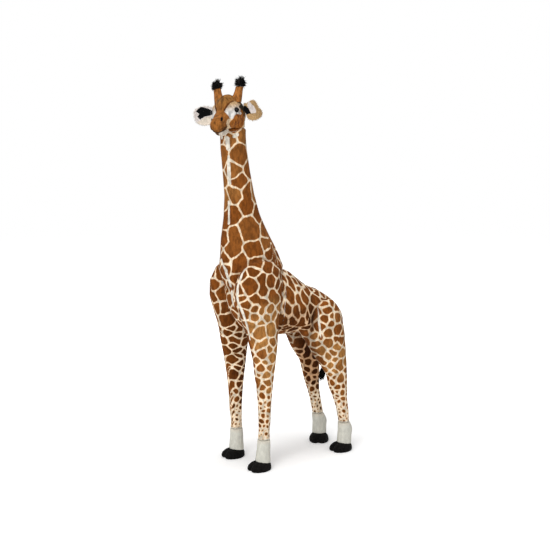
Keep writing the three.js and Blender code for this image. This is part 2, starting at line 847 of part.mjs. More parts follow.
function earForm(side) {
  const columns = Array.from({ length: earColumns + 1 }, (_, n) => n);
  const rings = earShares.map((row) => [
    ...columns.map((n) => inEar(side, row, n, -1)),
    ...columns.map((n) => inEar(side, row, earColumns - n, 1)),
  ]);
  const { root, along, up } = earFrame(side);
  const blade = skinOver(rings, undefined, root.clone().addScaledVector(along, earLength));
  const halfRoot = earRootShare * earHalfWidth;
  const hinge = cylinderBetween(
    root.clone().addScaledVector(up, -halfRoot),
    root.clone().addScaledVector(up, halfRoot),
    earThickness / 2,
  );
  return cut(join(blade, hinge), ...flapRooms(root, up));
}

// The head as an ear meets it all the way through its swing
function flapRooms(root, up) {
  return [-1, -0.5, 0, 0.5, 1].map((share) =>
    headForm(seamGap)
      .translate(...root.clone().negate().toArray())
      .applyMatrix4(new THREE.Matrix4().makeRotationAxis(up, share * earFlap))
      .translate(...root.toArray()),
  );
}

// The lining lies on the ear's face, over all but its edges.
function liningForm(side) {
  const columns = Array.from({ length: earColumns - 1 }, (_, n) => n + 1);
  const rings = liningRows.map((row) => [
    ...columns.map((n) => inEar(side, row, n, 1, seamGap)),
    ...columns.map((n) => inEar(side, row, earColumns - n, 1, seamGap + liningThickness)),
  ]);
  return bladeOver(rings);
}

// Eyes, on stems held by washers inside the head
function eyeParts(side, grow = 0) {
  const { place, out } = onHead(eyeForward, eyeAngle, side);
  const middle = place.clone().addScaledVector(out, -eyeRadius / 4);
  const stemEnd = middle.clone().addScaledVector(out, -eyeStemLength - grow);
  const washerMiddle = middle.clone().addScaledVector(out, -eyeRadius - eyeWasherThickness / 2 - fitGap);
  const halfWasher = out.clone().multiplyScalar(eyeWasherThickness / 2 + grow);
  return {
    dome: ball(middle, eyeRadius + grow, eyeRadius + grow, eyeRadius + grow),
    stem: cylinderBetween(middle, stemEnd, eyeStemRadius + grow, 8),
    washer: cylinderBetween(
      washerMiddle.clone().sub(halfWasher),
      washerMiddle.clone().add(halfWasher),
      eyeWasherRadius + grow,
    ),
  };
}

function nostrilForm(side, grow = 0) {
  const noseForward = headLength - headBack;
  const { place } = onHead(noseForward - nostrilSetback, nostrilAngle, side);
  return ball(place, nostrilHalfWidth + grow, nostrilHalfLength + grow, nostrilHalfLength + grow);
}

// Tail: a root that turns in a pocket of the rump, and a cord with a ball for a knuckle
const sideValues = [1, -1];
const rumpEnd = rearLegY + rumpReach;
const tailRootEnd = rumpEnd + fitGap;
const tailHeight = bellyHeight + tailRise;
const tailPivot = point(0, tailRootEnd + tailBallRadius + fitGap, tailHeight);

const tailRootForm = (grow = 0) =>
  cylinderBetween(
    point(0, rumpEnd - tailRootDepth - grow, tailHeight),
    point(0, tailRootEnd + grow * overrun, tailHeight),
    tailRootRadius + grow,
    2 * smallSides,
  );

const tailDown = point(-Math.sin(tailLean), 0, -Math.cos(tailLean));
const tailAt = (distance) => tailPivot.clone().addScaledVector(tailDown, distance);
const tailEnd = tailCordLength + tailTuftLength;

const tailCordForm = () =>
  join(
    ball(tailPivot, tailBallRadius, tailBallRadius, tailBallRadius),
    cylinderBetween(tailPivot, tailAt(tailCordLength), tailCordRadius),
  );

// share of the tuft's length, half width
const tailTuftShares = [
  [0, 0.52],
  [0.12, 0.8],
  [0.35, 1],
  [0.65, 0.85],
  [0.88, 0.45],
];

function tailTuftForm() {
  const across = tailDown.clone().cross(yAxis).normalize();
  const at = (share) => tailAt(tailCordLength + seamGap + share * tailTuftLength);
  const rings = tailTuftShares.map(([share, size]) =>
    ellipseRing(at(share), across, yAxis, size * tailTuftRadius, size * tailTuftRadius, smallSides),
  );
  return skinOver(rings, undefined, at(1));
}

// The toy, put together
const body = new THREE.Group();
const head = new THREE.Group();
head.position.copy(pivot);
head.rotation.z = headYaw;
body.add(head);

function add(name, geometry, material, parent = body) {
  geometry.computeVertexNormals();
  const mesh = new THREE.Mesh(geometry, material);
  mesh.name = name;
  parent.add(mesh);
}

const joint = discJoint();
const jointRoom = discJoint(fitGap);

// Frame
const legRooms = legs.map((leg) => [legRod(leg, fitGap), nutForm(leg, fitGap)]);
const pairs = [
  { name: "shoulder_crossbar", pair: [0, 1] },
  { name: "hip_crossbar", pair: [2, 3] },
];
for (const { name, pair } of pairs) {
  const [left, right] = pair;
  add(name, cut(crossbarForm(legs[left]), legRooms[left][0], legRooms[right][0]), steel);
}
legs.forEach((leg, n) => {
  add(`leg_rod_${leg.name}`, legRod(leg), steel);
  add(`rod_nut_${leg.name}`, cut(nutForm(leg), legRooms[n][0]), steel);
  add(`sole_board_${leg.name}`, soleBoardForm(leg), board);
});
add("spine_bar", spineForm(), steel);
add("neck_rod", neckRodForm(), steel);
add("neck_joint_disc", cut(joint.lower, joint.bore), plastic);

// Stuffed body
const crossbarRooms = pairs.map(({ pair }) => crossbarForm(legs[pair[0]], fitGap));
const torsoRoom = [...legRooms.flat(), ...crossbarRooms, spineForm(fitGap), neckRodForm(fitGap), tailRootForm(fitGap)];
add("torso", cut(torsoForm(), ...torsoRoom), furBrown);
add(
  "neck",
  cut(neckForm(), torsoForm(seamGap), neckRodForm(fitGap), jointRoom.lower, jointRoom.washer, jointRoom.stem),
  furBrown,
);
add("mane", maneForm(), faceBrown);
legs.forEach((leg, n) => {
  const room = [...legRooms[n], ...crossbarRooms];
  const [rodRoom] = legRooms[n];
  add(`leg_${leg.name}`, cut(legForm(leg), torsoForm(seamGap), neckForm(seamGap), ...room), furBrown);
  add(`sock_${leg.name}`, cut(sockForm(leg), hoofForm(leg, seamGap), rodRoom), cream);
  add(`hoof_${leg.name}`, cut(hoofForm(leg), soleBoardForm(leg, fitGap), rodRoom), black);
});

// Head
const toHead = (geometry) => geometry.clone().translate(...pivot.clone().negate().toArray());
const eyes = sideValues.map((side) => eyeParts(side));
const eyeRooms = sideValues.flatMap((side) => Object.values(eyeParts(side, fitGap)));
const skull = join(headForm(), collar);
const nostrilRooms = sideValues.map((side) => nostrilForm(side, seamGap));
add(
  "skull",
  cut(skull, halfSpace(true), underCollar, toHead(jointRoom.upper), ...eyeRooms),
  faceBrown,
  head,
);
add("muzzle", cut(headForm(), halfSpace(false), ...nostrilRooms), faceBrown, head);
add("chin", chinForm(), cream, head);
add("head_joint_disc", join(toHead(joint.upper), toHead(joint.stem)), plastic, head);
add("joint_lock_washer", cut(toHead(joint.washer), toHead(joint.bore)), plastic, head);
sideValues.forEach((side, n) => {
  const sideName = side > 0 ? "left" : "right";
  const stemRoom = cylinderBetween(
    onHead(eyeForward, eyeAngle, side).place,
    onHead(eyeForward, eyeAngle, side).place.addScaledVector(
      onHead(eyeForward, eyeAngle, side).out,
      -2 * eyeStemLength,
    ),
    eyeStemRadius + fitGap,
    8,
  );
  add(`horn_${sideName}`, hornForm(side), faceBrown, head);
  add(`horn_tuft_${sideName}`, hornTuftForm(side), black, head);
  add(`eye_${sideName}`, join(eyes[n].dome, eyes[n].stem), eyeBlack, head);
  add(`eye_washer_${sideName}`, cut(eyes[n].washer, stemRoom), plastic, head);
  add(`nostril_${sideName}`, nostrilForm(side), black, head);
  add(`ear_${sideName}`, earForm(side), cream, head);
  add(`ear_lining_${sideName}`, liningForm(side), black, head);
});

// Tail
add("tail_root", tailRootForm(), furBrown);
add("tail_cord", tailCordForm(), furBrown);
add("tail_tuft", tailTuftForm(), black);

body.position.set(-middleX, -middleY, 0);
const giraffe = new THREE.Group();
giraffe.add(body);
export default giraffe;
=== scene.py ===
# %% [markdown]
# # A standing plush giraffe
# The real toy is a set of fur panels sewn into skins, stuffed over a steel frame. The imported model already
# says where every panel, horn, ear and hoof goes. This lesson dresses it: first the frame is loaded, then
# each skin is grown from the solids that it covers, sewn, creased and given its printed coat.

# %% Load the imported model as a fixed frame
import json
import math

import bmesh
import bpy
import numpy as np
from mathutils import Matrix, Vector, noise
from mathutils.bvhtree import BVHTree


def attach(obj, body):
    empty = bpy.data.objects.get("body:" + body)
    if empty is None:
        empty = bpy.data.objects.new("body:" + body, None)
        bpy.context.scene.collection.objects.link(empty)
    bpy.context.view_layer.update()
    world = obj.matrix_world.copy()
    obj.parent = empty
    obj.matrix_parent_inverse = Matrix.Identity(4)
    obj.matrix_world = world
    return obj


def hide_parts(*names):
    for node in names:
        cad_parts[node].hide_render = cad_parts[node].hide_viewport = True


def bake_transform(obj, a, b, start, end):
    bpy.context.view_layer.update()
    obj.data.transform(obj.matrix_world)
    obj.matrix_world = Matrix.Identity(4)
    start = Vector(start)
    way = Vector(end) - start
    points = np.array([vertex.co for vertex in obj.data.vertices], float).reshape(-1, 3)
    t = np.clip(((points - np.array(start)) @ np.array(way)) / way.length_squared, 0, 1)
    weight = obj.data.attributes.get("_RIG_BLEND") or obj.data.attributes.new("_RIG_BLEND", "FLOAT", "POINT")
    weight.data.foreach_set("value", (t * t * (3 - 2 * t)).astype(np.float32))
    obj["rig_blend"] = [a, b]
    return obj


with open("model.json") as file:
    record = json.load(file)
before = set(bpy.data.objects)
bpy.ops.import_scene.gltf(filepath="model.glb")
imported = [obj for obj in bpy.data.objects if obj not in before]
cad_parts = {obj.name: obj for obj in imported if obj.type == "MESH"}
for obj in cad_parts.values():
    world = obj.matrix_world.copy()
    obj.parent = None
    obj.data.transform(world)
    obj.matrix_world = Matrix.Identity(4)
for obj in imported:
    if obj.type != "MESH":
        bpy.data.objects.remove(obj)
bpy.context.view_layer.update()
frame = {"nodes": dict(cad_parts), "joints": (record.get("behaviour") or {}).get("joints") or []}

MM = 0.001

# %% [markdown]
# ## The camera
# The photograph is taken from in front and to the giraffe's left, from about the height of its horns, with
# a fairly long lens. Placing the camera first lets every later step be judged from there.

# %% Camera at the photograph's viewing angle
CAMERA_PLACE = Vector((3.34615, -2.25477, 1.370))
CAMERA_AIM = Vector((0.030, -0.018, 0.675))
CAMERA_LENS = 75.93
CAMERA_SENSOR = 36

camera_data = bpy.data.cameras.new("camera")
camera_data.lens = CAMERA_LENS
camera_data.sensor_width = CAMERA_SENSOR
camera = bpy.data.objects.new("camera", camera_data)
camera.location = CAMERA_PLACE
camera.rotation_euler = (CAMERA_AIM - CAMERA_PLACE).to_track_quat("-Z", "Y").to_euler()
bpy.context.collection.objects.link(camera)
bpy.context.scene.camera = camera
print("camera", round((CAMERA_AIM - CAMERA_PLACE).length, 2), "m from the giraffe")

# %% [markdown]
# ## From solids to a stuffed skin
# A stuffed panel has no facets and no sharp joins: the pile rounds everything. So each skin starts as a
# copy of the solids that it stands for, joined in one bmesh. A voxel remesh melts them into one closed
# surface of even squares, and a smoothing that alternates in and out takes the facets away and hardly thins
# a leg. Sculpting by hand would also do, but this way a skin follows the frame whenever the frame changes.

# %% Copies of the frame's solids, joined and plugged
UP = Vector((0, 0, 1))
SAME_POINT = 0.01 * MM
PLUG_SIDES = 24


def joined_solids(*names):
    grown = bmesh.new()
    for name in names:
        grown.from_mesh(frame["nodes"][name].data)
    bmesh.ops.remove_doubles(grown, verts=grown.verts, dist=SAME_POINT)
    return grown


def add_plug(grown, low, high, radius, high_radius=None):
    """A round plug or cone: it closes the hole where a rod or a disc leaves a solid, or fills a web."""
    axis = high - low
    turn = UP.rotation_difference(axis.normalized()).to_matrix().to_4x4()
    bmesh.ops.create_cone(
        grown,
        cap_ends=True,
        segments=PLUG_SIDES,
        radius1=radius,
        radius2=high_radius or radius,
        depth=axis.length,
        matrix=Matrix.Translation((low + high) / 2) @ turn,
    )


def as_object(name, grown):
    mesh = bpy.data.meshes.new(name)
    grown.to_mesh(mesh)
    grown.free()
    piece = bpy.data.objects.new(name, mesh)
    bpy.context.collection.objects.link(piece)
    return piece


def apply_modifiers(piece):
    view = bpy.context.evaluated_depsgraph_get()
    finished = bpy.data.meshes.new_from_object(piece.evaluated_get(view))
    piece.modifiers.clear()
    piece.data = finished
    finished.name = piece.name


def keep_outer_skin(piece):
    """The rods leave closed hollows inside: only the connected surface with the most points is the skin."""
    grown = bmesh.new()
    grown.from_mesh(piece.data)
    grown.verts.ensure_lookup_table()
    seen = [False] * len(grown.verts)
    islands = []
    for start in grown.verts:
        if seen[start.index]:
            continue
        seen[start.index] = True
        island, edge = [start], [start]
        while edge:
            for link in edge.pop().link_edges:
                for vert in link.verts:
                    if not seen[vert.index]:
                        seen[vert.index] = True
                        island.append(vert)
                        edge.append(vert)
        islands.append(island)
    islands.sort(key=len)
    spare = [vert for island in islands[:-1] for vert in island]
    bmesh.ops.delete(grown, geom=spare, context="VERTS")
    grown.to_mesh(piece.data)
    grown.free()
    return len(islands) - 1


# %% Places and directions of a skin's points, and its smoothing
def places(piece):
    found = np.empty(len(piece.data.vertices) * 3)
    piece.data.vertices.foreach_get("co", found)
    return found.reshape(-1, 3)


def outward(piece):
    found = np.empty(len(piece.data.vertices) * 3)
    piece.data.vertex_normals.foreach_get("vector", found)
    return found.reshape(-1, 3)


def put_places(piece, at):
    piece.data.vertices.foreach_set("co", at.ravel())
    piece.data.update()


def let_out(piece, amount):
    """Move every point outwards, or inwards where the amount is below zero."""
    put_places(piece, places(piece) + amount * outward(piece))


def smooth_skin(piece, rounds, inwards=0.5, outwards=-0.52):
    """Points move towards the middle of their neighbours, then a little further back."""
    ends = np.empty(len(piece.data.edges) * 2, int)
    piece.data.edges.foreach_get("vertices", ends)
    first, second = ends.reshape(-1, 2).T
    at = places(piece)
    count = np.bincount(ends, minlength=len(at))
    for share in [inwards, outwards] * rounds:
        for axis in range(3):
            line = at[:, axis]
            total = np.bincount(first, line[second], len(at)) + np.bincount(second, line[first], len(at))
            line += share * (total / count - line)
    put_places(piece, at)


def stuffed_skin(name, grown, voxel, rounds):
    piece = as_object(name, grown)
    remesh = piece.modifiers.new("melt", "REMESH")
    remesh.mode = "VOXEL"
    remesh.voxel_size = voxel
    apply_modifiers(piece)
    hollows = keep_outer_skin(piece)
    smooth_skin(piece, rounds)
    for face in piece.data.polygons:
        face.use_smooth = True
    print(name, len(piece.data.vertices), "points,", hollows, "hollows dropped")
    return piece


# %% Small functions for fading, wavering and measuring
def attribute(piece, name, values):
    made = piece.data.attributes.new(name, "FLOAT", "POINT")
    made.data.foreach_set("value", np.asarray(values, np.float32))


def hill(distance, width):
    """1 at no distance, falling smoothly to 0 within about two widths."""
    return np.exp(-((distance / width) ** 2))


def ease(low, high, value):
    share = np.clip((value - low) / (high - low), 0, 1)
    return share * share * (3 - 2 * share)


def waves(at, size, seed):
    """Smooth noise between -1 and 1 at each place, with bumps about as large as size."""
    shift = Vector((seed * 7.3, seed * 3.1, seed * 5.7))
    return np.array([noise.noise(Vector(place) / size + shift) for place in at])


def wavering(at, size, amount, seeds):
    """A smooth random shift of each place, by up to about amount along as many axes as there are seeds."""
    return np.stack([waves(at, size, seed) for seed in seeds], 1) * amount


def beside(at, start, end):
    """How far along a stretch each place lies, from 0 to 1, and its distance from the stretch."""
    way = end - start
    share = np.clip((at - start) @ way / (way @ way), 0, 1)
    return share, np.linalg.norm(at - start - share[:, None] * way, axis=1)


def stretches(path, amounts):
    """Each stretch of a path: its start and end, and the amounts at both."""
    path = np.array(path, float)
    return zip(path[:-1], path[1:], amounts[:-1], amounts[1:])


def mirrored(path):
    """The same path on the other side."""
    return [(-left, forward, up) for left, forward, up in path]


print("helpers ready")


# %% [markdown]
# ## The coat
# The torso, the neck and the four legs of the toy are separate panels, but sewn together they read as one
# coat with a few visible seams, so one skin covers all six solids. A cone of plush in each groin gives the
# soft web where a thigh runs into the belly. The skin is fine enough, about three millimetres between
# points, to carry the edges of the printed patches.

# %% One skin over the torso, the neck and the legs
COAT_SOLIDS = ["torso", "neck", "leg_front_left", "leg_front_right", "leg_rear_left", "leg_rear_right"]
COAT_VOXEL = 3.3 * MM
COAT_SMOOTHING = 40
HEAD_PIVOT = Vector(frame["joints"][0]["pos_m"])
# Plugs: radius and height where a rod leaves a leg, and where the head's disc leaves the neck.
ROD_PLUG = (12 * MM, 25 * MM)
DISC_PLUG = (40 * MM, 24 * MM)
# The web between a thigh and the belly: shin, groin and belly in millimetres to the left, back and up.
WEB_PATH = [(77, 203, 296), (65, 150, 395), (50, 88, 512)]
WEB_RADII = [15 * MM, 33 * MM, 37 * MM]

grown = joined_solids(*COAT_SOLIDS)
for name in COAT_SOLIDS[2:]:
    corners = [vert.co.copy() for vert in frame["nodes"][name].data.vertices]
    foot = min(corner.z for corner in corners)
    ring = [corner for corner in corners if corner.z < foot + MM]
    ankle = sum(ring, Vector()) / len(ring)
    add_plug(grown, ankle, ankle + UP * ROD_PLUG[1], ROD_PLUG[0])
add_plug(grown, HEAD_PIVOT - UP * DISC_PLUG[1], HEAD_PIVOT, DISC_PLUG[0])
for path in (mirrored(WEB_PATH), WEB_PATH):
    shin, groin, belly = [Vector(place) * MM for place in path]
    add_plug(grown, shin, groin, *WEB_RADII[:2])
    add_plug(grown, groin, belly, *WEB_RADII[1:])
coat = stuffed_skin("coat", grown, COAT_VOXEL, COAT_SMOOTHING)

# %% [markdown]
# ## Letting the skin out
# The real legs and neck are stuffed a little fuller in places than this skin. A table says where, and by
# how many millimetres, from comparing the skin's outline with the photograph's: towards the photograph's
# left and towards its right.

# %% Let out the legs and the neck
PHOTO_RIGHT = np.array([0.559, 0.829, 0])  # the level direction that runs rightwards in the photograph
# Each zone: its lower and upper corner in millimetres to the left, back and up, then heights with the two
# amounts.
FULLNESS = {
    "far front leg": (
        (-150, -260, 125),
        (-10, -40, 520),
        [(130, 0, 0), (180, 6.5, 3), (330, 7, 4), (440, 6, 2), (510, 0, 0)],
    ),
    "near front leg": (
        (10, -260, 125),
        (150, -20, 520),
        [(130, 0, 0), (180, 2, 5), (330, 4, 5), (400, 0, 5), (450, 0, 4), (510, 0, 0)],
    ),
    "near hind leg": (
        (0, 110, 112),
        (150, 330, 430),
        [(115, 0, 0), (150, 4, 4), (200, 7, 5), (240, 11, 7), (290, 9, 5), (350, 3, 2), (400, 0, 0)],
    ),
    "far hind leg": (
        (-150, 110, 112),
        (0, 330, 440),
        [(115, 0, 0), (150, 4, 1), (230, 3, 2), (300, 1, 3), (345, 0, 7), (385, 0, 9), (430, 0, 0)],
    ),
    "neck": (
        (-90, -270, 850),
        (100, -40, 1185),
        [(860, 0, 0), (950, 0, 3.5), (1100, 2, 3.5), (1180, 2, 3.5)],
    ),
}


def along_path(at, path, amounts, width):
    """The largest of a path's amounts, each fading out sideways over its width."""
    felt = np.zeros(len(at))
    for start, end, low, high in stretches(path, amounts):
        share, away = beside(at, start, end)
        felt = np.maximum(felt, (low + share * (high - low)) * hill(away, width))
    return felt


skin, out = places(coat) / MM, outward(coat)
level = out * (1, 1, 0)
sideways = out @ PHOTO_RIGHT
amount = np.zeros(len(skin))
for low, high, rows in FULLNESS.values():
    heights, *both = np.array(rows).T
    zone = ((skin > low) & (skin < high)).all(1)
    to_left, to_right = [np.interp(skin[:, 2], heights, amounts) for amounts in both]
    amount[zone] = (np.abs(sideways) * np.where(sideways > 0, to_right, to_left))[zone]
skin += amount[:, None] * level
put_places(coat, skin * MM)
smooth_skin(coat, 6)
print("skin let out by up to", round(float(amount.max()), 1), "mm")


# %% [markdown]
# ## Shader nodes by name
# Every plush here is built from the same few nodes, so one small function makes a node, sets its choices
# and links whatever sockets it is given. That keeps each material readable as a list of steps.

# %% Helpers for shader nodes
def feed(node, inputs):
    """Fill a node's inputs: a value that is itself a socket gets linked, any other is set."""
    for name, value in inputs.items():
        if isinstance(value, bpy.types.NodeSocket):
            node.id_data.links.new(value, node.inputs[name])
        else:
            node.inputs[name].default_value = value


def add_node(tree, kind, inputs=None, **choices):
    made = tree.nodes.new("ShaderNode" + kind)
    for name, choice in choices.items():
        setattr(made, name, choice)
    feed(made, inputs or {})
    return made


def read_attribute(tree, name):
    return add_node(tree, "Attribute", attribute_name=name).outputs["Fac"]


def grain(tree, scale, detail=2.0, **inputs):
    """Noise with scale bumps to the metre."""
    return add_node(tree, "TexNoise", {"Scale": scale, "Detail": detail, **inputs}).outputs["Fac"]


def calculated(tree, operation, *inputs):
    return add_node(tree, "Math", dict(enumerate(inputs)), operation=operation).outputs[0]


def part_of(tree, share, amount):
    return calculated(tree, "MULTIPLY", share, amount)


def mixed(tree, share, first, second):
    mix = add_node(tree, "Mix", {0: share, 6: first, 7: second}, data_type="RGBA")
    return mix.outputs[2]


def ramped(tree, value, low, high, start=0.0, end=1.0):
    """Value's range from low to high, eased into start to end."""
    ends = {"From Min": low, "From Max": high, "To Min": start, "To Max": end}
    return add_node(tree, "MapRange", {"Value": value, **ends}, interpolation_type="SMOOTHSTEP").outputs[0]


def summed(tree, first, second, share=1.0):
    """The first value and a share of the second."""
    return calculated(tree, "MULTIPLY_ADD", second, share, first)


def colour(code):
    """A colour written as a web colour, turned into the linear values that shaders use."""
    parts = [int(code[at : at + 2], 16) / 255 for at in (1, 3, 5)]
    return (*[part / 12.92 if part <= 0.04045 else ((part + 0.055) / 1.055) ** 2.4 for part in parts], 1.0)


def new_material(name):
    """A material with its node tree and its Principled BSDF."""
    made = bpy.data.materials.new(name)
    made.use_nodes = True
    return made, made.node_tree, made.node_tree.nodes["Principled BSDF"]


print("shader helpers ready")

# %% [markdown]
# ## Short pile, once for every plush
# Plush has no gloss and no weave to see: it shows as soft streaks where the pile was brushed, broad light
# and dark areas where it leans another way, and a fine grain of fibre ends. The group takes a colour and
# gives it back mottled, with a height for a bump. It reads Object coordinates, so the pile stays put on
# every piece, and it is drawn out along the height so that the streaks hang downwards.

# %% The short-pile node group
STREAK_SQUEEZE = (1, 1, 0.45)  # of the coordinates, so the streaks are about twice as tall as they are wide
LEANS_PER_METRE = 26.0
BUMP_HEIGHT = 2.0 * MM
pile = bpy.data.node_groups.new("short pile", "ShaderNodeTree")
for name, kind, value in (
    ("Colour", "NodeSocketColor", (0.5, 0.3, 0.1, 1)),
    ("Mottling", "NodeSocketFloat", 0.3),
    ("Streaks per metre", "NodeSocketFloat", 110.0),
    ("Fibres per metre", "NodeSocketFloat", 900.0),
):
    pile.interface.new_socket(name, in_out="INPUT", socket_type=kind).default_value = value
pile.interface.new_socket("Colour", in_out="OUTPUT", socket_type="NodeSocketColor")
pile.interface.new_socket("Height", in_out="OUTPUT", socket_type="NodeSocketFloat")
given = pile.nodes.new("NodeGroupInput")
place = add_node(pile, "TexCoord").outputs["Object"]
hanging = add_node(pile, "Mapping", {"Vector": place, "Scale": STREAK_SQUEEZE}).outputs[0]
streaks = grain(pile, given.outputs["Streaks per metre"], 3.0, Vector=hanging, Roughness=0.6)
fibres = grain(pile, given.outputs["Fibres per metre"], Vector=hanging)
leaning = grain(pile, LEANS_PER_METRE, 1.0, Vector=place)
clumps = ramped(pile, streaks, 0.36, 0.64, -0.5, 0.5)
shade = summed(pile, summed(pile, summed(pile, -0.7, clumps), fibres, 0.6), leaning, 0.8)
level = summed(pile, 1.0, shade, given.outputs["Mottling"])
mottled = add_node(pile, "VectorMath", {0: given.outputs["Colour"], "Scale": level}, operation="SCALE")
height = summed(pile, streaks, fibres, 0.7)
feed(pile.nodes.new("NodeGroupOutput"), {"Colour": mottled.outputs[0], "Height": height})
print("short pile:", len(pile.nodes), "nodes")


# %% A plush material
def plush(name, paint, mottling=0.3, streaks=110.0, fibres=900.0, bump=0.5, sheen=0.03):
    """A plush material: paint(tree) gives the colour before the pile mottles it."""
    made, tree, shader = new_material(name)
    sizes = {"Mottling": mottling, "Streaks per metre": streaks, "Fibres per metre": fibres}
    brushed = add_node(tree, "Group", {"Colour": paint(tree), **sizes}, node_tree=pile).outputs
    relief = add_node(tree, "Bump", {"Height": brushed["Height"], "Strength": bump, "Distance": BUMP_HEIGHT})
    feed(shader, {
        "Base Color": brushed["Colour"],
        "Normal": relief.outputs[0],
        "Roughness": 0.95,
        "Specular IOR Level": 0.08,
        "Sheen Weight": sheen,
        "Sheen Roughness": 0.45,
    })
    return made


# %% [markdown]
# ## Where the panels are sewn together
# On the real coat the four leg panels are sewn over the torso and the neck, and each seam shows as a narrow
# valley. A point of the skin lies on a seam where two of the frame's solids are equally near, so the
# distances to the solids give the seams without drawing a single line. The skin is pressed in along them,
# and the material paints shade into each valley. Behind each shoulder the belly's panel is gathered, and
# its small slanting folds are drawn as waves.

# %% Seams of the coat, pressed into the skin
SEAM_WIDTH = 4.5 * MM
SEAM_DEPTH = 2.6 * MM


def solid_tree(node):
    solid = bmesh.new()
    solid.from_mesh(frame["nodes"][node].data)
    tree = BVHTree.FromBMesh(solid)
    solid.free()
    return tree


def solid_distances(at, nodes, reach):
    """A row for each node: how far each place is from its solid, or the reach where that is further."""
    rows = []
    for tree in map(solid_tree, nodes):
        rows.append([tree.find_nearest(place, reach)[3] or reach for place in map(Vector, at)])
    return np.array(rows)


def seam_distance(at, nodes, reach=0.03):
    """How far each place is from being equally near to two of the solids."""
    apart = solid_distances(at, nodes, reach)
    apart.sort(axis=0)
    return (apart[1] - apart[0]) / 2


def press_in(piece, at, seam, depth, width):
    """Put a skin's points at their places, but deeper the nearer they are to a seam."""
    put_places(piece, at - depth * hill(seam, width)[:, None] * outward(piece))


GATHER_MIDDLES = [(82, 22, 512), (-82, 22, 512)]
GATHER_REACH = 42  # this and the spacing in millimetres
GATHER_SPACING = 15
GATHER_HEIGHT = 1.7 * MM
at, out = places(coat), outward(coat)
away = [np.linalg.norm((at / MM - middle) * (1, 0.75, 1), axis=1) for middle in GATHER_MIDDLES]
gathered_here = sum(hill(distance, GATHER_REACH) for distance in away)
across_gathers = (0.75 * at[:, 2] - 0.66 * at[:, 1]) / MM + 5 * waves(at / MM, 28, 12)
folded = np.sin(across_gathers * 2 * math.pi / GATHER_SPACING)
at += (GATHER_HEIGHT * gathered_here * folded)[:, None] * out
seam = seam_distance(at, COAT_SOLIDS)
press_in(coat, at, seam, SEAM_DEPTH, SEAM_WIDTH)
# how much painted shade a point gets in a seam's valley
attribute(coat, "seam", hill(seam, SEAM_WIDTH * 0.7))
print("coat seams:", int((seam < SEAM_WIDTH).sum()), "points pressed in")

# %% [markdown]
# ## The printed patches
# A giraffe's patches are cells with pale gaps of nearly the same width between them. Each patch is one
# round, or a few joined rounds, and every point of the skin belongs to the patch whose round it is deepest
# in. Where two patches are equally good lies the middle of a pale line. All patches are grown from a seed,
# at a size that suits their place: large on the neck and the shoulder, tall on the barrel and smaller and
# smaller down the legs.

# %% Patches grown from a seed
LINE_HALF_WIDTH = 2.9
PATCH_SEED = 11
PATCH_SPREAD = (0.65, 1.35)  # smallest and largest radius, as a share of the fitting one
JOINED_SHARE = 0.2  # how many of the rounds are joined with their nearest neighbour into an uneven shape
JOINED_ABOVE = 300  # only above about this height, in millimetres


def patch_radius(at):
    """A fitting patch radius, in millimetres, at places on the skin given in millimetres."""
    left, back, up = at.T
    leg = np.interp(up, [100, 170, 300, 430], [5.8, 7.4, 12.5, 16.5])
    leg *= np.where((left < 0) & (up > 180), 1.2, 1)
    barrel = np.where(back > 110, 18, np.where(back > -40, 16.5, 20))
    neck = np.interp(up, [600, 700, 760, 950, 1180], [20, 27, 34, 33, 25])
    body = np.where(up < 620, barrel, np.where(back > -20, 15, neck))
    chest = (back < -150) & (up > 540) & (up < 720) & (left > -62) & (left < 62)
    return np.where(up < 440, leg, np.where(chest, 25, body))


def pattern_space(at):
    """Places of the skin, squeezed on the barrel, where cells are tall, and widened where cells are flat."""
    left, back, up = at.T
    barrel = ease(-60, -25, back) * ease(110, 70, back) * ease(470, 510, up)
    right_front_leg = ease(-60, -95, back) * ease(-10, -45, left) * ease(-100, -70, left)
    drawn_out = 0.55 * right_front_leg * (np.clip(up, 330, 510) - 420)
    slanted = back + 0.25 * barrel * (up - 600)
    return np.stack([left, slanted, up - 0.4 * barrel * (up - 600) + drawn_out], 1)


def grown_patches(skin, seed):
    """Dart throwing: a random point becomes a round if it leaves the others their room, less each time."""
    picks = np.random.default_rng(seed)
    rounds = np.zeros((0, 4))
    tries = 9000
    for squeeze in (1.05, 0.9, 0.78):
        chosen = skin[picks.choice(len(skin), tries, replace=False)]
        radii = patch_radius(chosen) * picks.uniform(*PATCH_SPREAD, tries)
        for centre, radius in zip(pattern_space(chosen), radii):
            gap = np.sqrt(((rounds[:, :3] - centre) ** 2).sum(1)) - squeeze * (rounds[:, 3] + radius)
            if gap.min(initial=1) > 0:
                rounds = np.vstack([rounds, [*centre, radius]])
    return rounds


skin = places(coat) / MM
rounds = grown_patches(skin, PATCH_SEED)
owner = np.arange(len(rounds))
joining = np.random.default_rng(PATCH_SEED + 2)
for number in range(len(rounds)):
    if joining.random() < JOINED_SHARE * (rounds[number, 2] > JOINED_ABOVE):
        others = np.linalg.norm(rounds[:, :3] - rounds[number, :3], axis=1)
        owner[number] = owner[np.argsort(others)[1]]
print("patches:", len(np.unique(owner)), "from", len(rounds), "rounds")

# %% Every point's distance to the nearest pale line
FAR = 1e3  # millimetres, further than anything on the toy that counts as near
AT_A_TIME = 4000  # points of the skin, to save memory


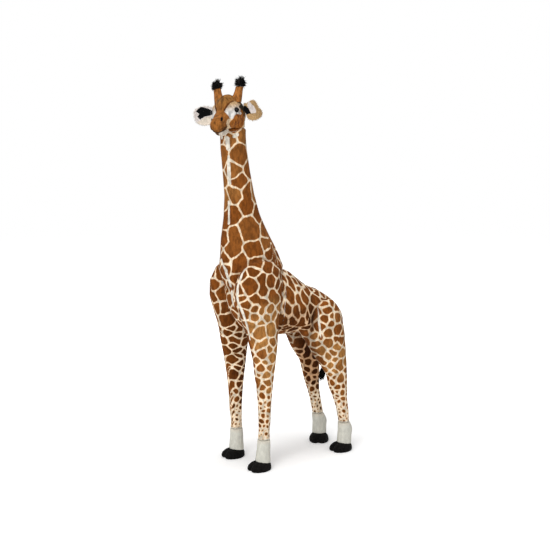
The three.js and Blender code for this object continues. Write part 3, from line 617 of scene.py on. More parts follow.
def line_distance(skin, rounds, owner, rounding=2.0):
    """Millimetres from each point to the edge of its own patch, and which patch that is."""
    centres, squares = rounds[:, :3], rounds[:, 3] ** 2
    apart = np.sqrt(((centres[:, None] - centres[None]) ** 2).sum(2)) + 1e-6
    distance, patch = np.empty(len(skin)), np.empty(len(skin), int)
    for start in range(0, len(skin), AT_A_TIME):
        part = slice(start, start + AT_A_TIME)
        some = skin[part]
        power = (some**2).sum(1)[:, None] + (centres**2).sum(1) - 2 * some @ centres.T - squares
        best = power.argmin(1)
        least = power[np.arange(len(some)), best]
        gap = (power - least[:, None]) / (2 * apart[best])
        gap[owner[best][:, None] == owner[None]] = FAR
        distance[part] = -rounding * np.log(np.exp(-gap / rounding).sum(1) + 1e-9)
        patch[part] = owner[best]
    return distance, patch


wander = wavering(skin, 30, 5.5, (1, 2, 3)) + wavering(skin, 11, 1.6, (7, 8, 9))
distance, patch = line_distance(pattern_space(skin) + wander, rounds, owner)
left, back, up = skin.T
on_barrel = ease(-60, -20, back) * ease(130, 100, back) * ease(455, 480, up)
half_width = np.interp(up, [110, 180, 330], [1.8, 2.2, LINE_HALF_WIDTH])
half_width *= 1 - 0.15 * on_barrel
half_width *= 1 + 0.45 * waves(skin, 22, 7)
print("patches cover", round(float((distance > half_width).mean()), 2), "of the skin")

# %% How light each patch is, by where it lies: printed tone with painted light and shade
TONE_DRIFT = 0.3
SOCK_TOP = 106
tones = np.random.default_rng(PATCH_SEED + 1).uniform(-TONE_DRIFT, TONE_DRIFT, owner.max() + 1)
outer = np.sign(left) * outward(coat)[:, 0]  # 1 where a leg faces outwards, -1 where it faces the other leg
on_leg = ease(650, 560, up) * ease(15, 35, np.abs(left)) * (1 - on_barrel)
shoulder = ease(600, 660, up) * ease(770, 740, up)
# Above zero a patch is lighter. A leg gets painted light where it faces outwards and painted shade where it
# faces the other leg, and the neck is light towards the head. Darker are the lower legs, the shoulder, the
# thigh and the rump, and most of all the lower barrel, where the darkness is painted shade under the belly,
# as on the inner thigh.
zone = on_leg * (0.85 * outer - 0.15) + (1 - on_leg) * (0.25 * ease(730, 780, up) - 0.15) - 0.25 * shoulder
zone -= 0.5 * ease(330, 240, up) * (outer > 0) + 0.7 * ease(220, 140, up)
zone += 0.3 * ease(900, 1000, up) - 0.55 * ease(60, 110, back) * ease(400, 470, up)
inner_thigh_shade = on_leg * ease(100, 150, back) * ease(0, -0.5, outer) * ease(180, 260, up)
zone -= on_barrel * (0.05 + 0.85 * ease(600, 530, up)) + 0.65 * inner_thigh_shade
# painted shade on the pale lines of the inner thigh and the lower barrel
attribute(coat, "shaded lines", np.maximum(inner_thigh_shade, 0.7 * on_barrel * ease(600, 530, up)))
attribute(coat, "border", distance - half_width)
attribute(coat, "tone_and_shade", tones[patch] + zone)
attribute(coat, "above sock", up - SOCK_TOP)
print("tones from", round(float(zone.min()), 1), "to", round(float(zone.max()), 1))

# %% Deep folds, where painted shade darkens the fur and drowns the lines
BEHIND_SHOULDER_FOLD = [(62, 10, 655), (80, 0, 610), (84, -6, 560), (74, -2, 510)]
# Each fold: its path, how dark its painted shade is along the path, and how far the shade reaches.
SHADED_FOLDS = [
    ([(88, 108, 545), (84, 102, 500), (70, 112, 455), (58, 128, 430)], [0.5, 0.8, 0.9, 0.5], 10),
    (
        [
            (60, -196, 640), (68, -196, 600), (74, -184, 555), (74, -168, 510), (70, -158, 470),
            (66, -150, 430),
        ],
        [0.2, 0.5, 0.8, 0.9, 0.9, 0.4],
        8,
    ),
    ([(62, 104, 452), (66, 128, 405), (72, 148, 355)], [0.45, 0.5, 0.35], 22),
    ([(60, -180, 722), (52, -205, 690), (44, -204, 655)], [0.5, 0.8, 0.3], 5),
    ([(-60, -180, 722), (-56, -200, 690), (-50, -200, 655)], [0.9, 0.9, 0.3], 6),
    (BEHIND_SHOULDER_FOLD, [0.3, 0.6, 0.8, 0.6], 6),
    (mirrored(BEHIND_SHOULDER_FOLD), [0.3, 0.6, 0.8, 0.6], 6),
]
fold_shade = np.zeros(len(skin))
for path, depths, reach in SHADED_FOLDS:
    fold_shade = np.maximum(fold_shade, along_path(skin + 0.5 * wander, path, depths, reach))
attribute(coat, "fold_shade", fold_shade)
print("folds:", int((fold_shade > 0.5).sum()), "dark points")

# %% [markdown]
# ## The cream throat
# A paler stripe runs down the throat from the chin to the chest and opens between the front legs. It turns
# with the skin of the neck, so it follows the front of the neck at the bottom and the turned head at the
# top. Thinner pale lines run down the shoulders, the near thigh and behind the shoulders. All are strokes
# of a broad pen, each painted as a distance from its path, like the patches.

# %% Cream strokes on the throat, the chest, the shoulders and the near thigh
SHOULDER = [(79, -166, 723), (84, -192, 696), (86, -206, 660), (84, -209, 628), (88, -202, 595)]
LOWER_SHOULDER = [(93, -188, 561), (94, -176, 528), (88, -160, 472)]
BEHIND_SHOULDER = [
    (71, -3, 661), (88, -12, 629), (94, -17, 596), (93, -20, 561), (83, -17, 523), (64, -12, 490),
]
# Each stroke: a path of left, back and up in millimetres, and its half width along the path.
CREAM_STROKES = {
    "under the cheek": (
        [(27, -201, 1174), (32, -196, 1179), (38, -184, 1180), (41, -174, 1182), (38, -157, 1188)],
        [1.6, 2, 2, 2, 1.6],
    ),
    "collar left": ([(41, -177, 1168), (36, -187, 1162)], [6.5, 6]),
    "collar bar": ([(2, -212, 1160), (30, -198, 1158)], [1.8, 1.8]),
    "collar right": ([(-8, -211, 1172), (-2, -212, 1158)], [9, 7]),
    "throat top": ([(21, -206, 1156), (23, -202, 1123)], [8.5, 8.5]),
    "throat middle": (
        [(23, -200, 1096), (21, -199, 1066), (19, -198, 1036), (20, -196, 1004)],
        [5, 6.5, 8, 7],
    ),
    "throat low": ([(14, -197, 942), (16, -198, 907), (19, -200, 868)], [5, 5, 5]),
    "chest": (
        [(-6, -215, 742), (22, -214, 708), (24, -203, 667), (18, -192, 629), (16, -182, 560)],
        [5, 6, 7, 7, 6],
    ),
    "near shoulder": (SHOULDER + LOWER_SHOULDER, [3, 5, 6, 6, 6, 5.5, 4.5, 3]),
    "far shoulder": (mirrored(SHOULDER), [3, 4, 4, 4, 3]),
    "near thigh": (
        [(84, 126, 568), (94, 124, 537), (100, 123, 502), (95, 132, 463), (87, 142, 424), (77, 152, 392)],
        [1.5, 3.5, 4.8, 4.8, 4, 2],
    ),
    "behind near shoulder": (BEHIND_SHOULDER, [1, 2, 2.5, 2.5, 2, 1]),
    "behind far shoulder": (mirrored(BEHIND_SHOULDER), [1, 2, 2.5, 2.5, 2, 1]),
}


def path_distance(at, path, radii):
    """Millimetres from each place to a path of rounds; below zero inside them."""
    nearest = np.full(len(at), FAR)
    for start, end, low, high in stretches(path, radii):
        share, away = beside(at, start, end)
        nearest = np.minimum(nearest, away - low - share * (high - low))
    return nearest


def strokes_distance(at, strokes):
    return np.min([path_distance(at, path, radii) for path, radii in strokes], axis=0)


throat = strokes_distance(skin + 0.3 * wander, CREAM_STROKES.values())
attribute(coat, "throat", throat)
print("cream strokes:", int((throat < 0).sum()), "points")


# %% The coat's material
def paint_coat(tree):
    ragged = grain(tree, 420.0, 1.0)
    border = summed(tree, summed(tree, read_attribute(tree, "border"), ragged, 1.8), -0.9)
    throat = summed(tree, read_attribute(tree, "throat"), ragged, 1.8)
    tone_and_shade = read_attribute(tree, "tone_and_shade")
    # the patch's tone, with its painted light and shade, sets how dark its brown is
    dark = mixed(tree, ramped(tree, tone_and_shade, -1.8, 0.0), colour("#361703"), colour("#7c4518"))
    patch = mixed(tree, ramped(tree, tone_and_shade, 0.0, 1.0), dark, colour("#a9763f"))
    rim = mixed(tree, ramped(tree, border, 0.2, 2.0), mixed(tree, 0.55, colour("#c08a55"), patch), patch)
    pale = mixed(tree, ramped(tree, border, -3.2, -0.8), colour("#ddd3c2"), colour("#e8cdaa"))
    # painted shade on the pale lines of the inner thigh and the lower barrel
    pale = mixed(tree, read_attribute(tree, "shaded lines"), pale, colour("#c49b76"))
    printed = mixed(tree, ramped(tree, border, -0.6, 0.6), pale, rim)
    cream = mixed(tree, ramped(tree, throat, -0.8, 1.2), colour("#ddd6c8"), printed)
    # painted shade in the seams' valleys
    sewn = mixed(tree, read_attribute(tree, "seam"), cream, mixed(tree, 0.45, cream, colour("#5d3a20")))
    # painted shade in the deep folds, nearly black-brown
    folded = mixed(tree, read_attribute(tree, "fold_shade"), sewn, mixed(tree, 0.85, sewn, colour("#2a1305")))
    sock_edge = summed(tree, read_attribute(tree, "above sock"), ragged, -7)
    return mixed(tree, ramped(tree, sock_edge, 1.5, 4.5), colour("#d0cabc"), folded)


coat.data.materials.append(plush("patched plush", paint_coat, mottling=0.5, streaks=100, sheen=0.015))
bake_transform(coat, "body", "head", start=(0, -0.10, 0.95), end=tuple(HEAD_PIVOT))
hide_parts(*COAT_SOLIDS)
print("coat dressed")


# %% [markdown]
# ## The face
# The head is three stuffed panels: the skull, the muzzle and the chin. They are sewn edge to edge, so again
# one finer skin covers them. The brow, the cheeks, the mouth and the seam down the nose are then pushed in
# or drawn out of that skin, as a modeller's thumb would. All their places are given in the head's own
# directions, to its left, forwards and up from the top of the neck, because the head is turned and tilted
# on the neck.

# %% One skin over the skull, the muzzle and the chin
HEAD_TURN = math.radians(33)
HEAD_ROLL = math.radians(-6.5)
HEAD_SET = Matrix.Rotation(HEAD_TURN, 3, "Z") @ Matrix.Rotation(HEAD_ROLL, 3, "Y")
FINE_VOXEL = 1.7 * MM
# Throat and middle of the chin, in millimetres to the head's left, back and up.
THROAT = (1, -64, 0)
CHIN_MIDDLE = (1, -90, -11)
DISC_HOLE = 32 * MM  # radius of the plug where the head's disc leaves the skull


def head_places(at):
    """Places of the scene as the head's left, forward and up, in millimetres from the top of the neck."""
    left, back, up = ((np.asarray(at) - np.array(HEAD_PIVOT)) @ np.array(HEAD_SET) / MM).T
    return np.stack([left, -back, up], 1)


grown = joined_solids("skull", "muzzle", "chin")
add_plug(grown, HEAD_PIVOT + UP * (2 * MM), HEAD_PIVOT + UP * (30 * MM), DISC_HOLE)
throat, chin_middle = [HEAD_PIVOT + HEAD_SET @ Vector(place) * MM for place in (THROAT, CHIN_MIDDLE)]
add_plug(grown, chin_middle, throat, 12 * MM, 14 * MM)
face = stuffed_skin("face", grown, FINE_VOXEL, 22)

# %% Brow, cheeks, eye hollows, mouth and nose seam
# Each row: a path in the head's directions, how wide it reaches and how far it pulls the skin out, in
# millimetres.
FACE_MOVES = {
    "brow": ([(53, 38, 70), (45, 56, 76), (34, 68, 73)], 8, 3.0),
    "eye hollow": ([(46, 62, 52), (40, 72, 50)], 7, -2.6),
    "cheek": ([(46, 54, 24), (38, 66, 20)], 15, 4.5),
    "jaw hollow": ([(27, 82, 34), (24, 86, 6)], 5, -2.4),
    "muzzle side": ([(24, 104, 14), (18, 118, 4)], 10, 2.0),
    "temple": ([(51, 18, 62), (52, 12, 50)], 10, 3.5),
    "crown": ([(0, 10, 96), (0, 40, 100), (0, 62, 92)], 24, 3.5),
    "nostril rim": ([(16, 121, 35), (21, 117, 33)], 4.5, 1.6),
}
MIDDLE_MOVES = {
    "nose seam": ([(0, 60, 90), (1, 90, 60), (0, 116, 46), (-2, 132, 30)], 2.2, -1.2),
    "upper lip": ([(-2, 135, 20), (-2, 134, 2)], 3.0, -1.6),
}
MOUTH = [(25, 98, 7), (22, 109, 3), (18, 121, -1), (10, 131, -6), (-2, 134, -8), (-12, 131, -6),
         (-18, 121, -1), (-22, 109, 3), (-25, 98, 7)]
MOUTH_DEPTH = 3.2  # millimetres, as wide as it is deep
SEWN_DEPTH = 1.2 * MM
SEWN_WIDTH = 2.4 * MM


def near_path(at, path):
    return path_distance(at, path, [0] * len(path))


marks = head_places(places(face))
pull = np.zeros(len(marks))
for path, width, out in FACE_MOVES.values():
    pull += out * (hill(near_path(marks, path), width) + hill(near_path(marks, mirrored(path)), width))
for path, width, out in MIDDLE_MOVES.values():
    pull += out * hill(near_path(marks, path), width)
pull -= MOUTH_DEPTH * hill(near_path(marks, MOUTH), MOUTH_DEPTH)
let_out(face, pull[:, None] * MM)
seam = seam_distance(places(face), ["skull", "muzzle"])
press_in(face, places(face), seam, SEWN_DEPTH, SEWN_WIDTH)
print("face:", round(float(pull.min()), 1), "to", round(float(pull.max()), 1), "mm of thumb work")

# %% [markdown]
# ## The painted face
# The face's colours are cut from other furs: white around the eyes, a dark wedge behind each eye, an orange
# cheek in a cream rim. Painted shade lies over the side of the face between the cheek and each ear, over the
# chin under the muzzle and over the cheek's outer cream edge. A pattern cutter draws such shapes on a flat
# paper template, so they are drawn here the same way: flat, as seen from 23 degrees beside the nose, in
# millimetres across and up from the top of the neck. The template of the left cheek is turned over for the
# right one, while the nose, the lip and the chin have one template for both sides. Every shape is stored as
# a distance from its outline, so its edge stays sharp between the skin's points.

# %% Flat templates of the face's markings
TEMPLATE_TURN = math.radians(23)
FACE_OUTLINES = {
    "white": [
        (9, 83), (17, 85), (26, 82), (34, 77), (36, 71), (32, 66), (34, 58), (33, 50), (37, 43), (32, 39),
        (25, 42), (17, 40), (12, 36), (9, 30), (3, 28), (-3, 31), (-5, 38), (-11, 46), (-18, 53),
        (-16, 60), (-9, 67), (-5, 73), (0, 79),
    ],
    "wedge": [
        (33, 72), (40, 80), (49, 75), (58, 72), (66, 55), (66, 36), (54, 35), (45, 41), (41, 51), (36, 58),
        (30, 65),
    ],
    # painted shade on the side of the face between the cheek and the ear
    "shade": [(41, 53), (60, 42), (60, 20), (47, 12), (41, 14), (43, 27), (39, 39), (35, 48)],
    "cheek": [
        (12, 35), (17, 41), (25, 43), (31, 39), (39, 38), (44, 29), (44, 18), (40, 6), (34, -1), (27, -6),
        (17, -8), (8, -9), (0, -6), (-4, 1), (-6, 8), (-5, 16), (-2, 21), (3, 25), (8, 29),
    ],
    "cream": [
        (-9, 29), (-1, 30), (6, 28), (8, 22), (2, 14), (4, 0), (10, -4), (20, -4), (30, 0), (36, 8),
        (44, 12), (50, 2), (46, -12), (31, -16), (23, -19), (8, -20), (-6, -18), (-19, -13), (-25, -7),
        (-19, -2), (-14, 4), (-15, 15), (-13, 23),
    ],
}
PALE_CHIN = [(-43, -11), (-28, -10), (-18, -4), (-9, -1), (-1, -12), (-7, -26), (-26, -32), (-44, -30)]
# Each stroke: a path across and up, and its half widths.
CHEEK_TEMPLATE = {
    "cheek strokes": [
        ([(19, 42), (24, 38), (25, 31)], [1.5, 3, 1]),
        ([(15, 25), (14, 16), (12, 7)], [0.8, 1.6, 0.8]),
        ([(24, 22), (24, 13), (21, 4)], [0.8, 1.8, 0.8]),
        ([(34, 28), (36, 19), (33, 10)], [1, 2, 1]),
        ([(-4, 17), (-5, 10), (-4, 3)], [1, 1.6, 1]),
        ([(-1, -5), (9, -7), (18, -5)], [0.8, 1.5, 0.8]),
        ([(31, 64), (35, 60), (37, 53)], [1.5, 2.6, 1.5]),
    ],
    # the cheek's real cream edge, in a darker cream that paints the shade there
    "cheek edge": [([(43, 32), (44, 20), (41, 8), (33, -5)], [0.8, 1.6, 2, 1.2])],
    "brow line": [([(-19, 59), (-11, 69), (-5, 77), (3, 83), (14, 87)], [1.6, 3.2, 3, 2, 0.8])],
    "nostril": [([(-28, 35), (-29, 27)], [3.0, 3.4])],
}
NOSE_TEMPLATE = {
    "nose strokes": [
        ([(-21, 107), (-22, 94), (-26, 81), (-28, 68), (-26, 58)], [5, 4, 2, 1.4, 0.6]),
        ([(-37, 95), (-39, 78), (-42, 63)], [2.5, 1.6, 0.8]),
        ([(-51, 24), (-51, 17)], [1.8, 1.8]),
        ([(-22, 20), (-19, 24), (-14, 32)], [2, 1.6, 0.8]),
        ([(-35, 19), (-28, 20)], [1.2, 1.2]),
        ([(-54, 41), (-44, 42)], [1, 2]),
        ([(-9, 100), (-4, 92), (2, 88)], [1.5, 1.5, 0.8]),
    ],
    "lip line": [([(-66, 12), (-65, 2), (-60, -5), (-53, -10), (-43, -11), (-33, -9), (-25, -2), (-15, 5)],
                  [1, 2, 2.6, 2.6, 1.8, 1.8, 2, 2])],
}


def outline_distance(at, corners):
    """Millimetres from flat places to a closed outline, below zero inside it."""
    corners = np.array(corners, float)
    nearest, crossings = np.full(len(at), FAR), np.zeros(len(at), int)
    for start, end in zip(corners, np.roll(corners, -1, 0)):
        along = end - start
        nearest = np.minimum(nearest, beside(at, start, end)[1])
        level = (start[1] > at[:, 1]) != (end[1] > at[:, 1])
        crossings += level & (at[:, 0] < start[0] + (at[:, 1] - start[1]) / (along[1] or 1e-9) * along[0])
    return np.where(crossings % 2 == 1, -nearest, nearest)


# %% Distances to the face's markings
TURNED_AWAY = 60  # millimetres added to every distance where the skin faces away from the template
BEHIND_EAR = -8  # millimetres in front of the neck's axis: behind this the dark wedge narrows to a point
BEHIND_EAR_TAPER = 1.6
marks, out = head_places(places(face)), outward(face) @ np.array(HEAD_SET)
jitter = wavering(marks, 9, 1.1, (4, 5))
across, onwards = math.cos(TEMPLATE_TURN), math.sin(TEMPLATE_TURN)
side = np.where(marks[:, 0] < 0, -1, 1)
turned_away = TURNED_AWAY * np.maximum(0, -side * out[:, 0] * onwards + out[:, 1] * across)
behind = TURNED_AWAY * np.maximum(0, -out[:, 0] * onwards + out[:, 1] * across)
cheek_view = np.stack([np.abs(marks[:, 0]) * across - marks[:, 1] * onwards, marks[:, 2]], 1) + jitter
nose_view = np.stack([marks[:, 0] * across - marks[:, 1] * onwards, marks[:, 2]], 1) + jitter
past_ear = BEHIND_EAR_TAPER * np.maximum(0, BEHIND_EAR - marks[:, 1])
for name, corners in FACE_OUTLINES.items():
    ends = past_ear if name == "wedge" else 0
    attribute(face, name, outline_distance(cheek_view, corners) + turned_away + ends)
for name, strokes in CHEEK_TEMPLATE.items():
    attribute(face, name, strokes_distance(cheek_view, strokes) + turned_away)
for name, strokes in NOSE_TEMPLATE.items():
    attribute(face, name, strokes_distance(nose_view, strokes) + behind)
attribute(face, "pale chin", outline_distance(nose_view, PALE_CHIN) + behind)
skull, muzzle, chin = solid_distances(places(face), ("skull", "muzzle", "chin"), reach=1.0) / MM
attribute(face, "muzzle", muzzle - np.minimum(skull, chin))
attribute(face, "chin", chin - np.minimum(skull, muzzle))
attribute(face, "mouth", near_path(marks, MOUTH) - 1.4)
attribute(face, "crown", marks[:, 2])
print("face painted with", len(face.data.attributes), "attributes")


# %% The face's material
def inside(tree, name, ragged, softness=0.8):
    """1 inside a marking, 0 outside, with a furry edge."""
    edge = summed(tree, read_attribute(tree, name), ragged, 3.0)
    return ramped(tree, edge, 1.5 + softness, 1.5 - softness)


# The markings in the order that they are painted: name, softness of the edge, share and colour.
FACE_PAINT = [
    ("muzzle", 1.5, 1, "#8a5626"),
    ("nose strokes", 1.8, 0.62, "#3f2612"),
    ("white", 1.6, 1, None),
    ("brow line", 1.2, 0.9, "#4a2408"),
    ("cream", 0.8, 1, "#dfc5a3"),
    ("cheek", 0.8, 1, "#9d5f28"),
    # painted shade between the cheek and the ear
    ("shade", 3.0, 0.75, "#5d3f1a"),
    ("cheek strokes", 1.4, 0.75, "#57290c"),
    # the cheek's cream edge, darker cream for painted shade
    ("cheek edge", 1.0, 0.85, "#cdb18a"),
    ("wedge", 1.6, 1, "#211c12"),
    # painted shade: the chin under the muzzle is dark brown, pale only in its pale part
    ("chin", 0.8, 1, "#5b3c1d"),
    ("pale chin", 0.8, None, "#d9cdbd"),
    ("lip line", 1.2, 0.85, "#33210f"),
    ("nostril", 1.0, 1, "#1c0d06"),
]


def paint_face(tree):
    ragged = grain(tree, 380.0)
    height = read_attribute(tree, "crown")
    fur = mixed(tree, ramped(tree, height, 30, 100), colour("#945c2a"), colour("#7c5428"))
    pale = mixed(tree, ramped(tree, height, 48, 82), colour("#c6c3bf"), colour("#ab8c66"))
    for name, softness, amount, code in FACE_PAINT:
        share = inside(tree, name, ragged, softness)
        if name == "pale chin":  # only where the chin's own fur is
            share = part_of(tree, inside(tree, "chin", ragged), share)
        elif amount < 1:
            share = part_of(tree, share, amount)
        fur = mixed(tree, share, fur, pale if name == "white" else colour(code))
    return mixed(tree, ramped(tree, read_attribute(tree, "mouth"), 1.4, -1.0), fur, colour("#35210f"))


face.data.materials.append(plush("face plush", paint_face, mottling=0.6, streaks=105, fibres=900))
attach(face, "head")
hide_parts("skull", "muzzle", "chin")
print("face dressed")

# %% [markdown]
# ## Shaggy hair
# The horn tips, the tail and the ears' rims carry longer hair. Hair particles would be the usual way, but
# the exported model needs a mesh, so a few curled locks are shaped once and set many times over a skin. A
# lock is a thin cone drawn from a bmesh cone, bent by moving its rings sideways, and it starts at the skin
# or just below it.

# %% Locks of hair set over a skin
LOCK_SIDES = 3
LOCK_CUTS = 3


def lock_mesh(name, length, width, bend):
    """A tapering lock along +Z that curves towards +X."""
    grown = bmesh.new()
    foot, tip = width / 2, width * 0.06
    bmesh.ops.create_cone(
        grown, cap_ends=False, segments=LOCK_SIDES, radius1=foot, radius2=tip, depth=length
    )
    long_edges = [edge for edge in grown.edges if abs(edge.verts[0].co.z - edge.verts[1].co.z) > length / 2]
    bmesh.ops.subdivide_edges(grown, edges=long_edges, cuts=LOCK_CUTS)
    bmesh.ops.translate(grown, verts=grown.verts, vec=(0, 0, length / 2))
    for vert in grown.verts:
        vert.co.x += bend * length * (vert.co.z / length) ** 2
    mesh = bpy.data.meshes.new(name)
    grown.to_mesh(mesh)
    grown.free()
    return mesh


def set_locks(name, roots, ways, length, width, seed, bends=(0.05, 0.25, 0.5), sizes=None):
    """One mesh of locks: each starts at a root and points its own way, with its own size and turn."""
    picks = np.random.default_rng(seed)
    shapes = [lock_mesh(f"{name} lock", length, width, bend) for bend in bends]
    grown = bmesh.new()
    for number, (root, way) in enumerate(zip(roots, ways)):
        turn = UP.rotation_difference(Vector(way).normalized()).to_matrix()
        twist = Matrix.Rotation(picks.uniform(0, 2 * math.pi), 3, "Z")
        size = picks.uniform(0.6, 1.15) * (1 if sizes is None else sizes[number])
        one = shapes[picks.integers(len(shapes))].copy()
        one.transform(Matrix.Translation(root) @ (turn @ twist).to_4x4() @ Matrix.Scale(size, 4))
        grown.from_mesh(one)
        bpy.data.meshes.remove(one)
    for face_of_lock in grown.faces:
        face_of_lock.smooth = True
    return as_object(name, grown)


def spots_on(piece, count, seed, keep=None):
    """Random points of a skin, with the way out of the skin at each."""
    at, out = places(piece), outward(piece)
    allowed = np.arange(len(at)) if keep is None else np.flatnonzero(keep)
    chosen = np.random.default_rng(seed).choice(allowed, min(count, len(allowed)), replace=False)
    return at[chosen], out[chosen]


# %% Plain plushes and hair
def one_colour(code, second):
    """Paint that drifts between two near colours."""
    def paint(tree):
        return mixed(tree, ramped(tree, grain(tree, 60.0), 0.35, 0.65), colour(code), colour(second))
    return paint


HAIR = {"fibres": 700, "bump": 0.2}
black_plush = plush("black plush", one_colour("#0c0b0b", "#151313"), mottling=0.5, fibres=1200, sheen=0.02)
black_hair = plush("black hair", one_colour("#080707", "#141110"), mottling=0.5, sheen=0.02, **HAIR)
white_hair = plush("white hair", one_colour("#d9d2c8", "#c8bcab"), mottling=0.15, **HAIR)
tan_hair = plush("tan hair", one_colour("#a5834f", "#c2a47c"), mottling=0.15, **HAIR)
horn_plush = plush("horn plush", one_colour("#875527", "#965f2f"), mottling=0.7, streaks=130, fibres=1000)
print("hair materials ready")


# %% [markdown]
# ## Horns with shaggy tips
# The horns are short stuffed cones of the same tan plush, each with a brush of black hair on its tip. A
# black skin over the tip's solid, slightly shrunk, is the core, so that no gap shows between the locks.
# Long pile sticks together: the locks of one part of the skin lean towards one common point outside it,
# which gives the brush its few ragged corners.

# %% Horns and their tufts
def put_on(piece, body, material):
    piece.data.materials.append(material)
    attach(piece, body)


def dress(piece, body, nodes, material):
    put_on(piece, body, material)
    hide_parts(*nodes)


def gathered(roots, tips, spread):
    """Ways and lengths of locks that lean towards the nearest of a few common points."""
    apart = np.linalg.norm(roots[:, None] - tips[None], axis=2)
    nearest = apart.argmin(1)
    ways = tips[nearest] - roots
    return ways / np.linalg.norm(ways, axis=1)[:, None] + spread, apart[np.arange(len(roots)), nearest]


# Corners of each tuft, from its middle in millimetres: to the head's left, back and up.
TUFT_CORNERS = {
    "left": [
        (12, -8, 17), (-11, -4, 19), (2, 10, 20), (-14, -6, 4), (19, 2, -12), (6, 14, -8), (-8, 12, 2),
        (14, -10, 2), (-6, -14, -6),
    ],
    "right": [
        (-17, -4, -8), (12, -8, 20), (-2, 8, 19), (17, 2, -6), (4, -15, -6), (-12, 9, 8), (4, 14, -6),
        (-12, -8, 8),
    ],
}
TUFT_SPREAD = 1.25  # how much further out than those corners the locks aim
TUFT_SEEDS = {"left": 21, "right": 22}
HORN_FULLNESS = 0.1  # how much rounder the stuffing makes a horn
HORN_FOOT_INWARDS = (2.2, 6.5)  # millimetres its foot spreads to the head's middle, outer and inner side
for side in ("left", "right"):
    horn = stuffed_skin(f"horn_{side}_skin", joined_solids(f"horn_{side}"), FINE_VOXEL, 12)
    at = places(horn)
    rise = (at[:, 2] - at[:, 2].min()) / np.ptp(at[:, 2])
    leaning = np.polyfit(rise, at[:, :2], 1)
    middle = np.c_[np.outer(rise, leaning[0]) + leaning[1], at[:, 2]]
    inwards = np.array(HEAD_SET.col[0]) * (-1 if side == "left" else 1)
    inner = (at - middle) @ inwards
    spread = hill(rise, 0.42) * np.interp(inner / inner.max(), [0, 1], HORN_FOOT_INWARDS) * MM
    put_places(horn, at + (at - middle) * HORN_FULLNESS + spread[:, None] * inwards)
    dress(horn, "head", [f"horn_{side}"], horn_plush)
    core = stuffed_skin(f"horn_tuft_{side}_core", joined_solids(f"horn_tuft_{side}"), 1.5 * MM, 8)
    let_out(core, -2.4 * MM)
    dress(core, "head", [f"horn_tuft_{side}"], black_plush)
    roots, outs = spots_on(core, 700, seed=TUFT_SEEDS[side])
    tips = places(core).mean(0) + TUFT_SPREAD * np.array(TUFT_CORNERS[side]) @ np.array(HEAD_SET).T * MM
    spread = np.random.default_rng(23).normal(0, 0.3, roots.shape) + 0.8 * outs
    ways, far = gathered(roots, tips, spread)
    sizes = np.clip(far / (14 * MM), 0.5, 1.45)
    tuft = set_locks(f"horn_tuft_{side}_hair", roots - outs * MM, ways, 11 * MM, 2.0 * MM, 24, sizes=sizes)
    put_on(tuft, "head", black_hair)
    print(f"{side} horn tuft:", len(tuft.data.polygons), "faces")

# %% [markdown]
# ## Ears
# An ear is a cupped leaf of two furs with a jagged black patch sewn over part of the inside. The ears of
# this toy are not a pair: the right one shows a white inside with the patch across its upper half, the left
# one a thick tan rim round a white inside, and black only at its root. Along the lower edge of each white, a
# fold gets painted shade. Their markings are again flat templates, this time in millimetres out along the
# ear and up from its hinge.

# %% Templates of the ears' markings
EAR_OUTLINES = {
    "left": {
        "black": [(9, 5), (14, -1), (27, -14), (15, -21), (2, -22), (-6, -14), (-6, 4), (3, 6)],
        "white": [(12, 20), (18, 23), (25, 18), (36, 9), (44, -1), (46, -8), (27, -14), (13, 1), (9, 10)],
        "fold_shade": [(26, -14.5), (47, -8.5), (47, -10.5), (26, -17)],
    },
    "right": {
        "black": [
            (63, 27), (56, 31), (49, 33), (39, 33), (30, 25), (22, 18), (14, 8), (14, -4), (28, -6),
            (43, -2), (52, -1), (64, -3), (66, 4), (68, 11), (61, 11), (58, 15), (60, 20),
        ],
        "white": [(-10, 60), (95, 60), (95, -9), (64, -6), (52, -4), (43, -5), (28, -9), (5, -8)],
        "fold_shade": [(20, -7.5), (28, -8), (44, -4), (55, -3.5), (44, -5.5), (28, -9.5)],
    },
}
RIM_FUR = {"left": ("#9c7a4b", "#c4a57c"), "right": ("#cbbfae", "#ddd3c6")}


def paint_ear(side):
    def paint(tree):
        ragged = grain(tree, 420.0)
        drift = grain(tree, 45.0)
        rim = mixed(tree, ramped(tree, drift, 0.4, 0.6), *map(colour, RIM_FUR[side]))
        front = mixed(tree, inside(tree, "white", ragged), rim, colour("#d8d0cc"))
        # painted shade along the ear's fold
        front = mixed(tree, part_of(tree, inside(tree, "fold_shade", ragged, 1.5), 0.5), front, colour("#8d7c66"))
        front = mixed(tree, inside(tree, "black", ragged, 0.5), front, colour("#0b0b0d"))
        back = mixed(tree, ramped(tree, drift, 0.35, 0.65), colour("#8e6a3c"), colour("#a5804f"))
        return mixed(tree, ramped(tree, read_attribute(tree, "inner"), -0.3, 0.05), back, front)
    return paint


# %% Ears, painted inside and out, with a fluffy rim
# Where each ear's leaf is drawn out or in: a place out along it and up, and the pull along both, all in
# millimetres.
EAR_PULLS = {"left": [(57, 24, -2, -8), (71, 14, -2, -5), (20, 32, 1, 3), (17, -32, 0, -8)],
             "right": [(68, 20, 2, 8), (56, 34, 2, 4)]}
EAR_PULL_REACH = 14
EDGE_SEEDS = {"left": 31, "right": 32}


def ear_view(ear, root, reach, upright):
    """Places of an ear's points, flat: millimetres out along the ear and up from its hinge."""
    from_root = places(ear) - root
    return np.stack([from_root @ reach, from_root @ upright], 1) / MM


